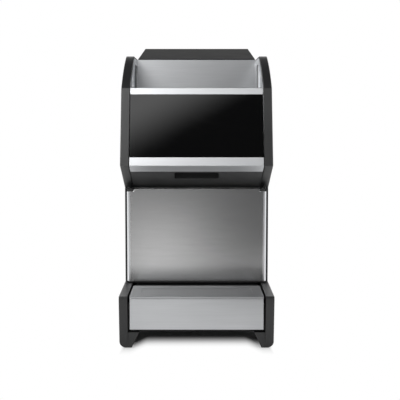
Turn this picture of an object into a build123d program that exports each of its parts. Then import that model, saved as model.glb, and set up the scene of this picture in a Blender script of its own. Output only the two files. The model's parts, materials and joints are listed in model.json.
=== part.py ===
from build123d import *
import os
from math import atan2, cos, hypot, pi, sin, tan

os.makedirs("parts", exist_ok=True)

# Counter-top milk fridge, in millimetres. +Z is up, the front faces -Y, and the origin is the
# middle of the footprint on the counter. Depths below are counted back from the front edge.

# Overall sizes
WIDTH = 360.0
DEPTH = 530.0
HOOD_RISE = 54.0

# Fits and clearances
RUNNING = 0.05
SEAT_GAP = 0.3
FIT_GAP = 0.4
STEEL = 1.2
CHASSIS_SHEET = 1.5
OVERCUT = 5.0

# Side panels: outline in the side view
CHEEK = 20.0
SKIN = 3.4
EDGE_ROUND = 2.5
BASE_TOP = 125.5
BASE_LIP_DEPTH = 3.0
BASE_LIP_HEIGHT = 7.0
BASE_LEAN = 11.0
NICHE_DEPTH = 149.0
NICHE_HEIGHT = 235.5
CHIN_RISE = 62.5
NOSE_LOW_DEPTH = 45.0
FACE_LEAN = 38.0
FACE_RISE = 183.5
BEVEL_RUN = 117.0
BEVEL_RISE = 86.0
BEVEL_BULGE = 7.5

# Feet
FOOT_LENGTH = 92.0
FOOT_PAD = 3.0
FOOT_FLAT = 14.0
FOOT_GUSSET = 46.0
FOOT_CORNER = 15.0
ARCH_HEIGHT = 30.0
GUSSET_MARGIN = 4.0
PAD_LENGTH = 56.0
PAD_WIDTH = 10.0
PAD_CORNER = 3.0
PAD_GAP = 0.2

# Base chassis, ledge and drawer
CHASSIS_FLOOR = 38.0
CHASSIS_FRONT = 20.0
GROOVE_DEEP = 22.0
GROOVE_MARGIN = 1.0
GUTTER_DEEP = 5.0
GUTTER_BEHIND_DOOR = 5.0
LEDGE_FRONT = 1.0
LEDGE_TO_DOOR = 29.0
LEDGE_THICKNESS = 3.0
LEDGE_NOSE = 5.8
LEDGE_SIDE_GAP = 5.3
LEDGE_ROUND = 1.3
INSET_SIDE_MARGIN = 23.0
INSET_CORNER = 6.0
INSET_FRONT = 22.0
INSET_BACK = 72.0
INSET_DEEP = 1.2
DRAWER_FLOOR_GAP = 9.0
DRAWER_SHADOW_GAP = 0.5
DRAWER_FRONT_FOLD = 12.0
DRAWER_FRONT_SET = 2.0
PAN_LENGTH = 286.0
PAN_SIDE_MARGIN = 8.5
PAN_WALL = 2.5
PAN_CORNER = 6.0
PAN_RAISE = 3.0
PAN_HEADROOM = 6.0
PAN_BOSS_HALF_WIDTH = 60.0
PAN_BOSS_LOW = 6.0
PAN_BOSS_HIGH = 12.0
PAN_REAR_SPACE = 10.0
SLIDE_WIDTH = 6.0
SLIDE_HEIGHT = 12.0
SLIDE_LEVEL = 80.0
SLIDE_END_GAP = 4.0
RUNNER_LIP = 4.0
RUNNER_REACH = 1.0
SHEET_ROUND = 0.8
REAR_NOTCH_MARGIN = 40.0

# Cold cabinet
CABINET_SET = 7.0
REAR_DUCT = 15.0
LINER_WALL = 2.5
LINER_MOUTH_ROUND = 2.0
SIDE_INSULATION = 33.2
FLOOR_INSULATION = 24.5
ROOF_INSULATION = 32.6
BACK_INSULATION = 34.0
EVAPORATOR_SIDE_MARGIN = 33.0
EVAPORATOR_FLOOR_GAP = 18.0
EVAPORATOR_ROOF_GAP = 16.0
EVAPORATOR_CORNER = 8.0
STANDOFF_MARGIN = 8.0
STANDOFF_RADIUS = 4.0
EVAPORATOR_PLATE = 1.6
EVAPORATOR_STANDOFF = 6.5
EVAPORATOR_TUBE_RADIUS = 3.0
EVAPORATOR_PASSES = 6
EVAPORATOR_TURN_MARGIN = 28.0
EVAPORATOR_PIPE_LOW = 20.0
EVAPORATOR_PIPE_HIGH = 26.0
SUCTION_MARGIN = 18.0
LIQUID_SPACING = 18.0

# Milk container
CONTAINER_SIDE_GAP = 18.0
CONTAINER_WIDTH = 170.0
CONTAINER_FRONT_GAP = 34.0
CONTAINER_REAR_GAP = 30.0
CONTAINER_HEIGHT = 112.0
CONTAINER_WALL = 2.5
CONTAINER_CORNER = 18.0
LID_THICKNESS = 6.0
LID_LIP = 8.0
LID_RIM = 3.0
LID_ROUND = 2.0
PICKUP_RADIUS = 4.0
PICKUP_BORE = 2.6
PICKUP_RISE = 16.0
PICKUP_FOOT_GAP = 5.0
PICKUP_FORWARD = 40.0
PICKUP_COLLAR = 3.0
PICKUP_BARB_LENGTH = 5.0
PICKUP_BARB_DROP = 7.0
PICKUP_BARB_TAPER = 15

# Milk hose port in the left wall
PORT_BACK_FROM_FRONT = 144.0
PORT_BELOW_ROOF = 28.0
PORT_RADIUS = 6.0
PORT_WALL = 3.0
PORT_FLANGE = 3.0

# Door
DOOR_BEFORE_NICHE_BACK = 23.0
DOOR_LIFT = 1.2
DOOR_TOP_GAP = 0.5
DOOR_SIDE_GAP = 7.2
DOOR_TRIM_WIDTH = 7.8
DOOR_TRIM_BEVEL = 4.0
DOOR_FRAME_DEPTH = 17.0
DOOR_SKIN_DEPTH = 14.0
DOOR_RAIL_HEIGHT = 3.1
DOOR_CAP_WIDTH = 17.0
DOOR_CAP_HEIGHT = 6.0
DOOR_PANEL = 2.5
DOOR_PLUG = 4.5
DOOR_PLUG_MARGIN = 14.8
DOOR_PLUG_CORNER = 8.0
DOOR_PLUG_TAPER = 10
GASKET_WIDTH = 9.0
GASKET_MARGIN = 3.3
GASKET_CORNER = 6.0
GASKET_INNER_CORNER = 4.0
DOOR_HINGE_INSET = 11.2
DOOR_HINGE_BEHIND_FRONT = 10.0
DOOR_PIN_RADIUS = 2.5
DOOR_PIN_IN_CAP = 5.0
DOOR_PIN_IN_TRIM = 4.0
DOOR_PIN_IN_FRAME = 12.0
DOOR_PIN_BORE_SPARE = 9.0
DOOR_PIN_ABOVE_CHIN = 11.0
DOOR_WASHER = 2.5

# Front flap
FLAP_SIDE_GAP = 1.6
FLAP_GLASS_MARGIN = 0.5
FLAP_GLASS_CHAMFER = 0.6
FLAP_SET = 4.0
FLAP_GLASS = 4.0
FLAP_CARRIER = 4.0
CARRIER_MARGIN = 2.0
CARRIER_RIM_LOW = 10.0
CARRIER_RIM = 6.0
CARRIER_RIM_DEEP = 4.0
CARRIER_SIDE_RIM_DEEP = 2.0
LOWER_RAIL_FACE = 21.0
LOWER_RAIL_UNDER = 31.0
LOWER_RAIL_SET = 2.0
LOWER_RAIL_SHEET = 2.0
LOWER_RAIL_BEND = 2.0
LOWER_RAIL_FOOT = 8.0
LOWER_RAIL_FOOT_MARGIN = 3.0
RAIL_PROUD_OF_GLASS = 0.5
TOP_RAIL_FACE = 14.0
TOP_RAIL_THICKNESS = 10.0
TOP_RAIL_PROUD = 2.0
TOP_RAIL_ROUND = 1.5
FLAP_PIN_RADIUS = 3.0
FLAP_PIN_IN_RAIL = 9.0
FLAP_PIN_IN_CHEEK = 8.0
FLAP_PIN_DROP = 6.0

# Cup bay
BAY_BACK = 277.0
SHELF_ABOVE_NOSE = 16.5
SHELF_SHEET = 1.5
SHELF_BEHIND_BAND = 2.0
SHELF_LIP = 9.0
BAND_SHEET = 3.0
BAND_BEHIND_NOSE = 33.0
BAND_SET = 3.0
BAND_TOP_FLANGE = 22.0
BAND_REAR_FLANGE = 22.0
GRIP_HALF_WIDTH = 54.0
GRIP_START = 4.0
GRIP_LENGTH = 33.0
GRIP_DEEP = 17.0
GRIP_WALL = 2.0
GRIP_CORNER = 5.0
BAY_FOLD = 14.0
LINER_FRONT_INSET = 24.0
LINER_TOP_DROP = 4.0
LINER_FRONT_RISE = 6.0
LINER_SHELF_OVERLAP = 4.0
AIR_SLOT_WIDTH = 56.0
AIR_SLOT_TO_WALL = 7.0
AIR_SLOT_ABOVE_SHELF = 15.0
AIR_SLOT_BELOW_TOP = 18.0
AIR_SLOT_CORNER = 8.0
HEATER_SIDE_MARGIN = 48.5
HEATER_FRONT_MARGIN = 30.0
HEATER_REAR_MARGIN = 37.0
HEATER_THICKNESS = 3.0
HEATER_CORNER = 8.0

# Rear hood and rear panel
HOOD_SIDE_GAP = 4.0
HOOD_SHEET = 2.0
HOOD_LIP = 12.0
HOOD_LIP_RUN = 6.0
HOOD_ROUND = 2.0
HOOD_VENT_RISE = 20.0
HOOD_VENT_PITCH_X = 56.0
HOOD_VENT_PITCH_Z = 9.0
HOOD_VENT_COLUMNS = 5
HOOD_VENT_ROWS = 3
HOOD_VENT_LENGTH = 44.0
HOOD_VENT_WIDTH = 4.0
REAR_PANEL_INSET = 11.0
REAR_REBATE = 8.0
LOUVRE_LENGTH = 104.0
LOUVRE_WIDTH = 5.0
LOUVRE_PITCH = 11.0
LOUVRE_ROWS = 10
REAR_SCREW_RADIUS = 2.0
REAR_SCREW_HEAD = 3.6
REAR_SCREW_HEAD_HEIGHT = 2.4
REAR_SCREW_CROSS = 2.4
REAR_SCREW_CROSS_HALF = 0.5
REAR_SCREW_LENGTH = 8.0
REAR_SCREW_ROWS = 5
REAR_SCREW_LOW = 22.0
REAR_SCREW_BELOW_TOP = 18.0

# Refrigeration unit
MACHINE_FLOOR = 2.0
COMPRESSOR_SIDE_SPACE = 82.0
COMPRESSOR_REAR_SPACE = 124.0
COMPRESSOR_RADIUS = 60.0
COMPRESSOR_HEIGHT = 122.0
COMPRESSOR_DOME = 30.0
COMPRESSOR_FOOT_PITCH_X = 120.0
COMPRESSOR_FOOT_PITCH_Y = 84.0
COMPRESSOR_FOOT = 3.0
MOUNT_HEIGHT = 10.0
MOUNT_RADIUS = 9.0
TERMINAL_WIDTH = 40.0
TERMINAL_HEIGHT = 42.0
TERMINAL_OUT = 14.0
TERMINAL_IN = 6.0
TERMINAL_RISE = 30.0
TERMINAL_OVERLAP = 4.0
STUB_OFFSET = 20.0
STUB_RISE = 8.0
STUB_ROOT = 20.0
CONDENSER_SIDE_SPACE = 16.0
CONDENSER_TO_COMPRESSOR = 21.0
CONDENSER_RAISE = 19.4
CONDENSER_HEIGHT = 150.0
CONDENSER_REAR_SPACE = 85.0
CONDENSER_THICKNESS = 40.0
FIN_PITCH = 8.0
FIN_SHEET = 0.6
CONDENSER_TUBE_RADIUS = 3.5
CONDENSER_ROWS = 4
CONDENSER_TUBE_OUT = 9.0
CONDENSER_TUBE_END = 4.0
CONDENSER_FOOT_SHEET = 3.0
SHROUD_LENGTH = 34.0
SHROUD_WALL = 3.0
FAN_MARGIN = 4.0
FAN_TIP_GAP = 3.0
FAN_HEADROOM = 11.0
FAN_HUB_RADIUS = 17.0
FAN_BLADES = 7
FAN_BLADE_SHEET = 1.8
FAN_BLADE_TWIST = 35.0
FAN_BLADE_CHORD = 17.0
FAN_LENGTH = 14.0
FAN_SHAFT_RADIUS = 3.0
FAN_SHAFT_END = 3.0
FAN_HUB_ROUND = 3.0
FAN_BLADE_ROOT = 3.0
ROTOR_GAP = 1.5
MOTOR_STRUT = 4.0
MOTOR_STRUT_SET = 2.0
MOTOR_STRUT_HALF = 4.0
MOTOR_SET = 3.0
MOTOR_RADIUS = 18.0
MOTOR_LENGTH = 12.0
PIPE_RADIUS = 3.0
CAPILLARY_RADIUS = 1.5
DRIER_RADIUS = 9.0
DRIER_LENGTH = 70.0
DRIER_ROUND = 5.0
DRIER_TO_CONDENSER_X = 50.0
DRIER_TO_CONDENSER = 34.0
DRIER_RISE = 57.4
PIPE_BEND = 12.0
LIQUID_BEND = 9.0
CAPILLARY_BEND = 6.0
HARNESS_BEND = 20.0
SUCTION_RISE = 44.0
LIQUID_GAP = 12.0
DISCHARGE_RISE = 28.0
SUCTION_ABOVE_DISCHARGE = 22.0
CAPILLARY_ABOVE_SUCTION = 20.0
SUCTION_DUCT_X = 4.0
LIQUID_DUCT_X = -12.0

# Electrical parts on the rear panel, at the base
BOX_SIDE_GAP = 10.0
BOX_WIDTH = 136.0
BOX_LENGTH = 89.0
BOX_HEADROOM = 9.0
BOX_WALL = 2.5
SERVICE_LEVEL = 72.0
INLET_IN_BOX = 28.0
INLET_WIDTH = 28.0
INLET_HEIGHT = 20.0
INLET_DEPTH = 24.0
INLET_WALL = 2.5
INLET_FLOOR = 6.0
INLET_PIN_LENGTH = 15.0
INLET_PIN_PITCH = 7.0
INLET_PIN_SIZE = (2.0, 4.0)
INLET_PIN_RISE = 2.5
INLET_PIN_DROP = 1.5
FRAME_FLANGE = 2.5
FRAME_PROUD = 1.4
SWITCH_IN_BOX = 68.0
SWITCH_WIDTH = 13.0
SWITCH_HEIGHT = 19.0
SWITCH_WALL = 1.5
SWITCH_DEPTH = 18.0
SWITCH_FLOOR = 4.0
ROCKER_TILT = 7.0
ROCKER_END_GAP = 0.5
ROCKER_OUT = 3.0
ROCKER_DISH = 1.6
ROCKER_IN = 3.5
ROCKER_PIN_RADIUS = 1.0
ROCKER_PIN_END = 0.6
KNOB_IN_BOX = 108.0
KNOB_RADIUS = 13.0
KNOB_HEIGHT = 7.0
KNOB_ROUND = 1.5
KNOB_MARK = 2.4
KNOB_SHAFT_RADIUS = 3.0
KNOB_SHAFT_DEEP = 14.0
THERMOSTAT_HALF = 13.0
THERMOSTAT_DEEP = 22.0
HARNESS_RADIUS = 4.0

# Door switch in the cabinet's front edge
DOOR_SWITCH_FROM_SIDE = 56.2
DOOR_SWITCH_BELOW_TOP = 21.6
DOOR_SWITCH_RADIUS = 6.0
DOOR_SWITCH_LENGTH = 22.0
PLUNGER_RADIUS = 2.5
PLUNGER_TRAVEL = 3.0
PLUNGER_ROUND = 1.5
DOOR_SWITCH_END = 3.0

# Values worked out from the sizes above
HALF = WIDTH / 2
INNER = HALF - CHEEK
POCKET = HALF - SKIN
NICHE_TOP = BASE_TOP + NICHE_HEIGHT
NOSE_LOW_HEIGHT = NICHE_TOP + CHIN_RISE
NOSE_TOP_DEPTH = NOSE_LOW_DEPTH + FACE_LEAN
NOSE_TOP_HEIGHT = NOSE_LOW_HEIGHT + FACE_RISE
BEVEL_DEPTH = NOSE_TOP_DEPTH + BEVEL_RUN
PANEL_HEIGHT = NOSE_TOP_HEIGHT + BEVEL_RISE
HOOD_HEIGHT = PANEL_HEIGHT + HOOD_RISE
LEAN = atan2(FACE_LEAN, FACE_RISE)
CHIN = atan2(CHIN_RISE, NICHE_DEPTH - NOSE_LOW_DEPTH)
FACE_LENGTH = hypot(FACE_LEAN, FACE_RISE)

REAR_PANEL_DEPTH = DEPTH - REAR_PANEL_INSET
REAR_FACE = REAR_PANEL_DEPTH + STEEL
HOOD_HALF_WIDTH = INNER - HOOD_SIDE_GAP
HOOD_BACK_WALL = REAR_FACE - HOOD_SHEET

CABINET_HALF = POCKET - FIT_GAP
CABINET_TOP = NICHE_TOP - FIT_GAP
CABINET_FRONT = NICHE_DEPTH + CABINET_SET
CABINET_BACK = REAR_PANEL_DEPTH - REAR_DUCT
DUCT_DEPTH = (CABINET_BACK + REAR_PANEL_DEPTH) / 2
CAVITY_HALF_WIDTH = CABINET_HALF - SIDE_INSULATION
CAVITY_BOTTOM = BASE_TOP + FLOOR_INSULATION
CAVITY_TOP = CABINET_TOP - ROOF_INSULATION
CAVITY_BACK = CABINET_BACK - BACK_INSULATION
EVAPORATOR_HALF_WIDTH = CAVITY_HALF_WIDTH - EVAPORATOR_SIDE_MARGIN
EVAPORATOR_LOW = CAVITY_BOTTOM + EVAPORATOR_FLOOR_GAP
EVAPORATOR_HIGH = CAVITY_TOP - EVAPORATOR_ROOF_GAP
CONTAINER_LEFT = -CAVITY_HALF_WIDTH + CONTAINER_SIDE_GAP
CONTAINER_RIGHT = CONTAINER_LEFT + CONTAINER_WIDTH
CONTAINER_FRONT = CABINET_FRONT + CONTAINER_FRONT_GAP
CONTAINER_BACK = CAVITY_BACK - CONTAINER_REAR_GAP
PORT_DEPTH = CABINET_FRONT + PORT_BACK_FROM_FRONT
PORT_HEIGHT = CAVITY_TOP - PORT_BELOW_ROOF

DOOR_FRONT = NICHE_DEPTH - DOOR_BEFORE_NICHE_BACK
DOOR_BOTTOM = BASE_TOP + DOOR_LIFT
DOOR_TOP = NICHE_TOP - DOOR_TOP_GAP
DOOR_BACK = DOOR_FRONT + DOOR_FRAME_DEPTH
DOOR_HALF_WIDTH = HALF - DOOR_SIDE_GAP
DOOR_STEEL_HALF_WIDTH = DOOR_HALF_WIDTH - DOOR_TRIM_WIDTH
PLUG_BACK = DOOR_BACK + DOOR_PANEL + DOOR_PLUG
DOOR_HINGE_X = HALF - DOOR_HINGE_INSET
DOOR_HINGE_DEPTH = DOOR_FRONT + DOOR_HINGE_BEHIND_FRONT
DOOR_SWITCH_X = -CABINET_HALF + DOOR_SWITCH_FROM_SIDE
DOOR_SWITCH_HEIGHT = CABINET_TOP - DOOR_SWITCH_BELOW_TOP

FOOT_Z = FOOT_PAD - 1.0
LEDGE_DEPTH = DOOR_FRONT - LEDGE_TO_DOOR
LEDGE_HALF_WIDTH = INNER - LEDGE_SIDE_GAP
INSET_HALF_WIDTH = LEDGE_HALF_WIDTH - INSET_SIDE_MARGIN
CHASSIS_TOP = BASE_TOP - LEDGE_THICKNESS
DRAWER_TOP = BASE_TOP - LEDGE_NOSE - DRAWER_SHADOW_GAP
DRAWER_BOTTOM = CHASSIS_FLOOR + DRAWER_FLOOR_GAP
PAN_HALF_WIDTH = LEDGE_HALF_WIDTH - PAN_SIDE_MARGIN

FLAP_HALF_WIDTH = INNER - FLAP_SIDE_GAP
BAND_FRONT = NOSE_LOW_DEPTH + BAND_BEHIND_NOSE
SHELF_FRONT = BAND_FRONT + SHELF_BEHIND_BAND
SHELF_TOP = NOSE_LOW_HEIGHT + SHELF_ABOVE_NOSE
SHELF_UNDER = SHELF_TOP - SHELF_SHEET
AIR_SLOT_BACK = BAY_BACK - AIR_SLOT_TO_WALL
AIR_SLOT_FRONT = AIR_SLOT_BACK - AIR_SLOT_WIDTH
AIR_SLOT_LOW = SHELF_TOP + AIR_SLOT_ABOVE_SHELF
AIR_SLOT_TOP = PANEL_HEIGHT - AIR_SLOT_BELOW_TOP

ROOM_FLOOR = CABINET_TOP + MACHINE_FLOOR
COMPRESSOR_X = -INNER + COMPRESSOR_SIDE_SPACE
COMPRESSOR_DEPTH = REAR_PANEL_DEPTH - COMPRESSOR_REAR_SPACE
CONDENSER_RIGHT = INNER - CONDENSER_SIDE_SPACE
TUBE_END_X = COMPRESSOR_X + COMPRESSOR_RADIUS + CONDENSER_TO_COMPRESSOR
CONDENSER_LEFT = TUBE_END_X + CONDENSER_TUBE_END + CONDENSER_TUBE_OUT
CONDENSER_X = (CONDENSER_LEFT + CONDENSER_RIGHT) / 2
CONDENSER_HALF_WIDTH = (CONDENSER_RIGHT - CONDENSER_LEFT) / 2
FAN_RADIUS = min(CONDENSER_HALF_WIDTH, CONDENSER_HEIGHT / 2 - FAN_HEADROOM) - FAN_MARGIN
CONDENSER_LOW = ROOM_FLOOR + CONDENSER_RAISE
CONDENSER_FRONT = REAR_PANEL_DEPTH - CONDENSER_REAR_SPACE
BOX_LEFT = -INNER + BOX_SIDE_GAP
BOX_RIGHT = BOX_LEFT + BOX_WIDTH
INLET_X = BOX_LEFT + INLET_IN_BOX
SWITCH_X = BOX_LEFT + SWITCH_IN_BOX
KNOB_X = BOX_LEFT + KNOB_IN_BOX
BOX_FRONT = REAR_PANEL_DEPTH - BOX_LENGTH
BOX_TOP = CHASSIS_TOP - BOX_HEADROOM
REAR_SCREW_FIRST = CHASSIS_FLOOR + REAR_SCREW_LOW
REAR_SCREW_STEP = (PANEL_HEIGHT - REAR_SCREW_BELOW_TOP - REAR_SCREW_FIRST) / (REAR_SCREW_ROWS - 1)
REAR_SCREW_HEIGHTS = [REAR_SCREW_FIRST + row * REAR_SCREW_STEP for row in range(REAR_SCREW_ROWS)]


def back(depth):
    """The row's y for a depth behind the front edge."""
    return depth - DEPTH / 2


def face_point(along, inset):
    """A point of the sloping front in the side view: along it from the nose, and in from it."""
    depth = NOSE_LOW_DEPTH + along * sin(LEAN) + inset * cos(LEAN)
    return (back(depth), NOSE_LOW_HEIGHT + along * cos(LEAN) - inset * sin(LEAN))


def chin_point(along, inset):
    """A point of the sloping underside of the head: back along it from the nose, and in from it."""
    depth = NOSE_LOW_DEPTH + along * cos(CHIN) + inset * sin(CHIN)
    return (back(depth), NOSE_LOW_HEIGHT - along * sin(CHIN) + inset * cos(CHIN))


def block(x, y, z, mode=Mode.ADD):
    """A box between two limits on each axis, in the part being built."""
    centre = ((x[0] + x[1]) / 2, (y[0] + y[1]) / 2, (z[0] + z[1]) / 2)
    with Locations(centre):
        Box(abs(x[1] - x[0]), abs(y[1] - y[0]), abs(z[1] - z[0]), mode=mode)


def folded_sheet(path, sheet):
    """The closed outline of a sheet of even thickness that lies to the left of an open path."""
    normals = []
    for (x0, y0), (x1, y1) in zip(path, path[1:]):
        length = hypot(x1 - x0, y1 - y0)
        normals.append(((y0 - y1) / length, (x1 - x0) / length))
    inner = []
    for index, (x, y) in enumerate(path):
        before = normals[max(index - 1, 0)]
        after = normals[min(index, len(normals) - 1)]
        share = sheet / (1 + before[0] * after[0] + before[1] * after[1])
        inner.append((x + share * (before[0] + after[0]), y + share * (before[1] + after[1])))
    return list(path) + inner[::-1]


def side_profile(points, x_low, x_high, mode=Mode.ADD):
    """A straight prism across the object from an outline in the side view."""
    with BuildSketch(Plane.YZ.offset(x_low)) as outline:
        with BuildLine():
            Polyline(*points, close=True)
        make_face()
    extrude(outline.sketch, amount=x_high - x_low, mode=mode)


def rod(radius, start, end, mode=Mode.ADD):
    """A round bar from one point to another."""
    axis = Vector(*end) - Vector(*start)
    with BuildSketch(Plane(origin=start, z_dir=axis)) as section:
        Circle(radius)
    extrude(section.sketch, amount=axis.length, mode=mode)


def pipe(radius, route, bend):
    """A bent pipe of straight runs joined by arcs."""
    with BuildLine() as line:
        FilletPolyline(*route, radius=bend)
    with BuildSketch(Plane(origin=route[0], z_dir=Vector(*route[1]) - Vector(*route[0]))) as section:
        Circle(radius)
    sweep(section.sketch, path=line.line)


def write(builder, name):
    """Labels a finished piece and writes its file."""
    builder.part.label = name
    export_step(builder.part, f"parts/{name}.step")


# Side panels: C-shaped mouldings with a thick head and base and a thin spine beside the cabinet
FLAP_AXIS_ALONG = FACE_LENGTH + TOP_RAIL_PROUD - FLAP_PIN_DROP - FLAP_PIN_RADIUS
FLAP_AXIS_INSET = FLAP_SET + TOP_RAIL_THICKNESS / 2
FLAP_AXIS_Y, FLAP_AXIS_Z = face_point(FLAP_AXIS_ALONG, FLAP_AXIS_INSET)


def panel_body():
    """The right-hand side panel, before its own holes are made."""
    foot_front = BASE_LEAN
    foot_rear = DEPTH - FOOT_LENGTH
    with BuildSketch(Plane.YZ.offset(INNER)) as outline:
        with BuildLine():
            Polyline(
                (back(foot_front), FOOT_Z),
                (back(0), BASE_TOP - BASE_LIP_HEIGHT),
                (back(BASE_LIP_DEPTH), BASE_TOP),
                (back(NICHE_DEPTH), BASE_TOP),
                (back(NICHE_DEPTH), NICHE_TOP),
                (back(NOSE_LOW_DEPTH), NOSE_LOW_HEIGHT),
                (back(NOSE_TOP_DEPTH), NOSE_TOP_HEIGHT),
            )
            middle_depth = (NOSE_TOP_DEPTH + BEVEL_DEPTH) / 2
            middle_height = (NOSE_TOP_HEIGHT + PANEL_HEIGHT) / 2
            ThreePointArc(
                (back(NOSE_TOP_DEPTH), NOSE_TOP_HEIGHT),
                (back(middle_depth - BEVEL_BULGE / 2), middle_height + BEVEL_BULGE),
                (back(BEVEL_DEPTH), PANEL_HEIGHT),
            )
            Polyline(
                (back(BEVEL_DEPTH), PANEL_HEIGHT),
                (back(DEPTH), PANEL_HEIGHT),
                (back(DEPTH), FOOT_Z),
                (back(foot_rear), FOOT_Z),
                (back(foot_rear - ARCH_HEIGHT / 2), ARCH_HEIGHT),
                (back(foot_front + FOOT_LENGTH + ARCH_HEIGHT / 2), ARCH_HEIGHT),
                (back(foot_front + FOOT_LENGTH), FOOT_Z),
                (back(foot_front), FOOT_Z),
            )
        make_face()
    extrude(outline.sketch, amount=CHEEK)
    outer_face = faces().sort_by(Axis.X)[-1]
    fillet(outer_face.outer_wire().edges(), radius=EDGE_ROUND)
    # Thin spine: the cabinet fills the pocket on the inside
    block((INNER - 1, POCKET), (back(NICHE_DEPTH) - 1, back(CABINET_BACK) + FIT_GAP),
          (BASE_TOP, NICHE_TOP), Mode.SUBTRACT)
    # Rebate that the rear panel lies in
    block((INNER - 1, INNER + REAR_REBATE), (back(REAR_PANEL_DEPTH), back(DEPTH) + 1),
          (CHASSIS_FLOOR, PANEL_HEIGHT - STEEL - FIT_GAP), Mode.SUBTRACT)
    # Gussets that widen the feet inward under the chassis
    for start in (foot_front, foot_rear + GUSSET_MARGIN):
        with BuildSketch(Plane.XZ.offset(-back(start))) as gusset:
            with BuildLine():
                Polyline(
                    (INNER + 1, CHASSIS_FLOOR),
                    (HALF - FOOT_GUSSET, CHASSIS_FLOOR),
                    (HALF - FOOT_CORNER - FOOT_FLAT, FOOT_Z),
                    (INNER + 1, FOOT_Z),
                    close=True,
                )
            make_face()
        extrude(gusset.sketch, amount=-(FOOT_LENGTH - 2 * GUSSET_MARGIN))
    # Rounded outer corner of the feet, seen from the front
    with BuildSketch(Plane.XZ.offset(-back(0) + 1)) as corner:
        with BuildLine():
            Line((HALF + 1, FOOT_Z - 1), (HALF - FOOT_CORNER, FOOT_Z - 1))
            Line((HALF - FOOT_CORNER, FOOT_Z - 1), (HALF - FOOT_CORNER, FOOT_Z))
            RadiusArc((HALF - FOOT_CORNER, FOOT_Z), (HALF, FOOT_Z + FOOT_CORNER), -FOOT_CORNER)
            Line((HALF, FOOT_Z + FOOT_CORNER), (HALF + 1, FOOT_Z + FOOT_CORNER))
            Line((HALF + 1, FOOT_Z + FOOT_CORNER), (HALF + 1, FOOT_Z - 1))
        make_face()
    extrude(corner.sketch, amount=-(DEPTH + 2), mode=Mode.SUBTRACT)
    # Pockets for the rubber pads
    for middle in pad_middles():
        block((pad_x() - PAD_WIDTH / 2, pad_x() + PAD_WIDTH / 2),
              (back(middle) - PAD_LENGTH / 2, back(middle) + PAD_LENGTH / 2),
              (0, FOOT_PAD), Mode.SUBTRACT)
    # Blind bores for the flap's hinge pins and for the rear panel's screws
    rod(FLAP_PIN_RADIUS + RUNNING, (INNER - 1, FLAP_AXIS_Y, FLAP_AXIS_Z),
        (INNER + FLAP_PIN_IN_CHEEK, FLAP_AXIS_Y, FLAP_AXIS_Z), Mode.SUBTRACT)
    for height in REAR_SCREW_HEIGHTS:
        rod(REAR_SCREW_RADIUS + RUNNING, (INNER + REAR_REBATE / 2, back(DEPTH) + 1, height),
            (INNER + REAR_REBATE / 2, back(REAR_FACE - REAR_SCREW_LENGTH) - 0.5, height), Mode.SUBTRACT)


def pad_middles():
    """Depths of the middles of the front and rear foot pads."""
    return (BASE_LEAN + FOOT_LENGTH / 2, DEPTH - FOOT_LENGTH / 2)


def pad_x():
    """Distance of the foot pads from the middle plane."""
    return HALF - FOOT_CORNER - FOOT_FLAT / 2


with BuildPart() as side_panel_right:
    panel_body()
    rod(DOOR_PIN_RADIUS + RUNNING, (DOOR_HINGE_X, back(DOOR_HINGE_DEPTH), BASE_TOP + 1),
        (DOOR_HINGE_X, back(DOOR_HINGE_DEPTH), BASE_TOP - DOOR_PIN_IN_FRAME), Mode.SUBTRACT)
    rod(DOOR_PIN_RADIUS + RUNNING, (DOOR_HINGE_X, back(DOOR_HINGE_DEPTH), NICHE_TOP - 1),
        (DOOR_HINGE_X, back(DOOR_HINGE_DEPTH), NICHE_TOP + DOOR_PIN_IN_FRAME + DOOR_PIN_BORE_SPARE),
        Mode.SUBTRACT)
write(side_panel_right, "side_panel_right")

with BuildPart() as side_panel_left:
    panel_body()
    mirror(about=Plane.YZ, mode=Mode.REPLACE)
    rod(PORT_RADIUS + PORT_WALL + RUNNING, (-HALF - 1, back(PORT_DEPTH), PORT_HEIGHT),
        (-POCKET + 1, back(PORT_DEPTH), PORT_HEIGHT), Mode.SUBTRACT)
write(side_panel_left, "side_panel_left")

with BuildPart() as foot_pads:
    for side in (-1, 1):
        for middle in pad_middles():
            block((side * pad_x() - PAD_WIDTH / 2 + PAD_GAP, side * pad_x() + PAD_WIDTH / 2 - PAD_GAP),
                  (back(middle) - PAD_LENGTH / 2 + PAD_GAP, back(middle) + PAD_LENGTH / 2 - PAD_GAP),
                  (0, FOOT_PAD))
    fillet(foot_pads.edges().filter_by(Axis.Z), radius=PAD_CORNER)
write(foot_pads, "foot_pads")

# Base chassis: a closed sheet-metal tube that carries the cabinet and guides the drawer. A groove
# along each upper edge keeps it off the side panels, and a gutter crosses it below the door.
CHASSIS_HALF = INNER - SEAT_GAP
CHASSIS_TOP_HALF = LEDGE_HALF_WIDTH - GROOVE_MARGIN
GROOVE_FLOOR = CHASSIS_TOP - GROOVE_DEEP
GUTTER_FLOOR = CHASSIS_TOP - GUTTER_DEEP
GUTTER_BACK = DOOR_BACK + GUTTER_BEHIND_DOOR


def chassis_section(shrink, top, mode):
    """The stepped cross-section of the chassis, drawn in by a margin."""
    low = CHASSIS_FLOOR + shrink
    for half, high in ((CHASSIS_HALF, GROOVE_FLOOR), (CHASSIS_TOP_HALF, top)):
        with Locations((0, (low + high - shrink) / 2)):
            Rectangle(2 * (half - shrink), high - shrink - low, mode=mode)


def chassis_tube(start, end, top):
    """One stretch of the chassis, open at both ends."""
    with BuildSketch(Plane.XZ.offset(-back(start))) as ring:
        chassis_section(0, top, Mode.ADD)
        chassis_section(CHASSIS_SHEET, top, Mode.SUBTRACT)
    extrude(ring.sketch, amount=-(end - start))


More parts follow.
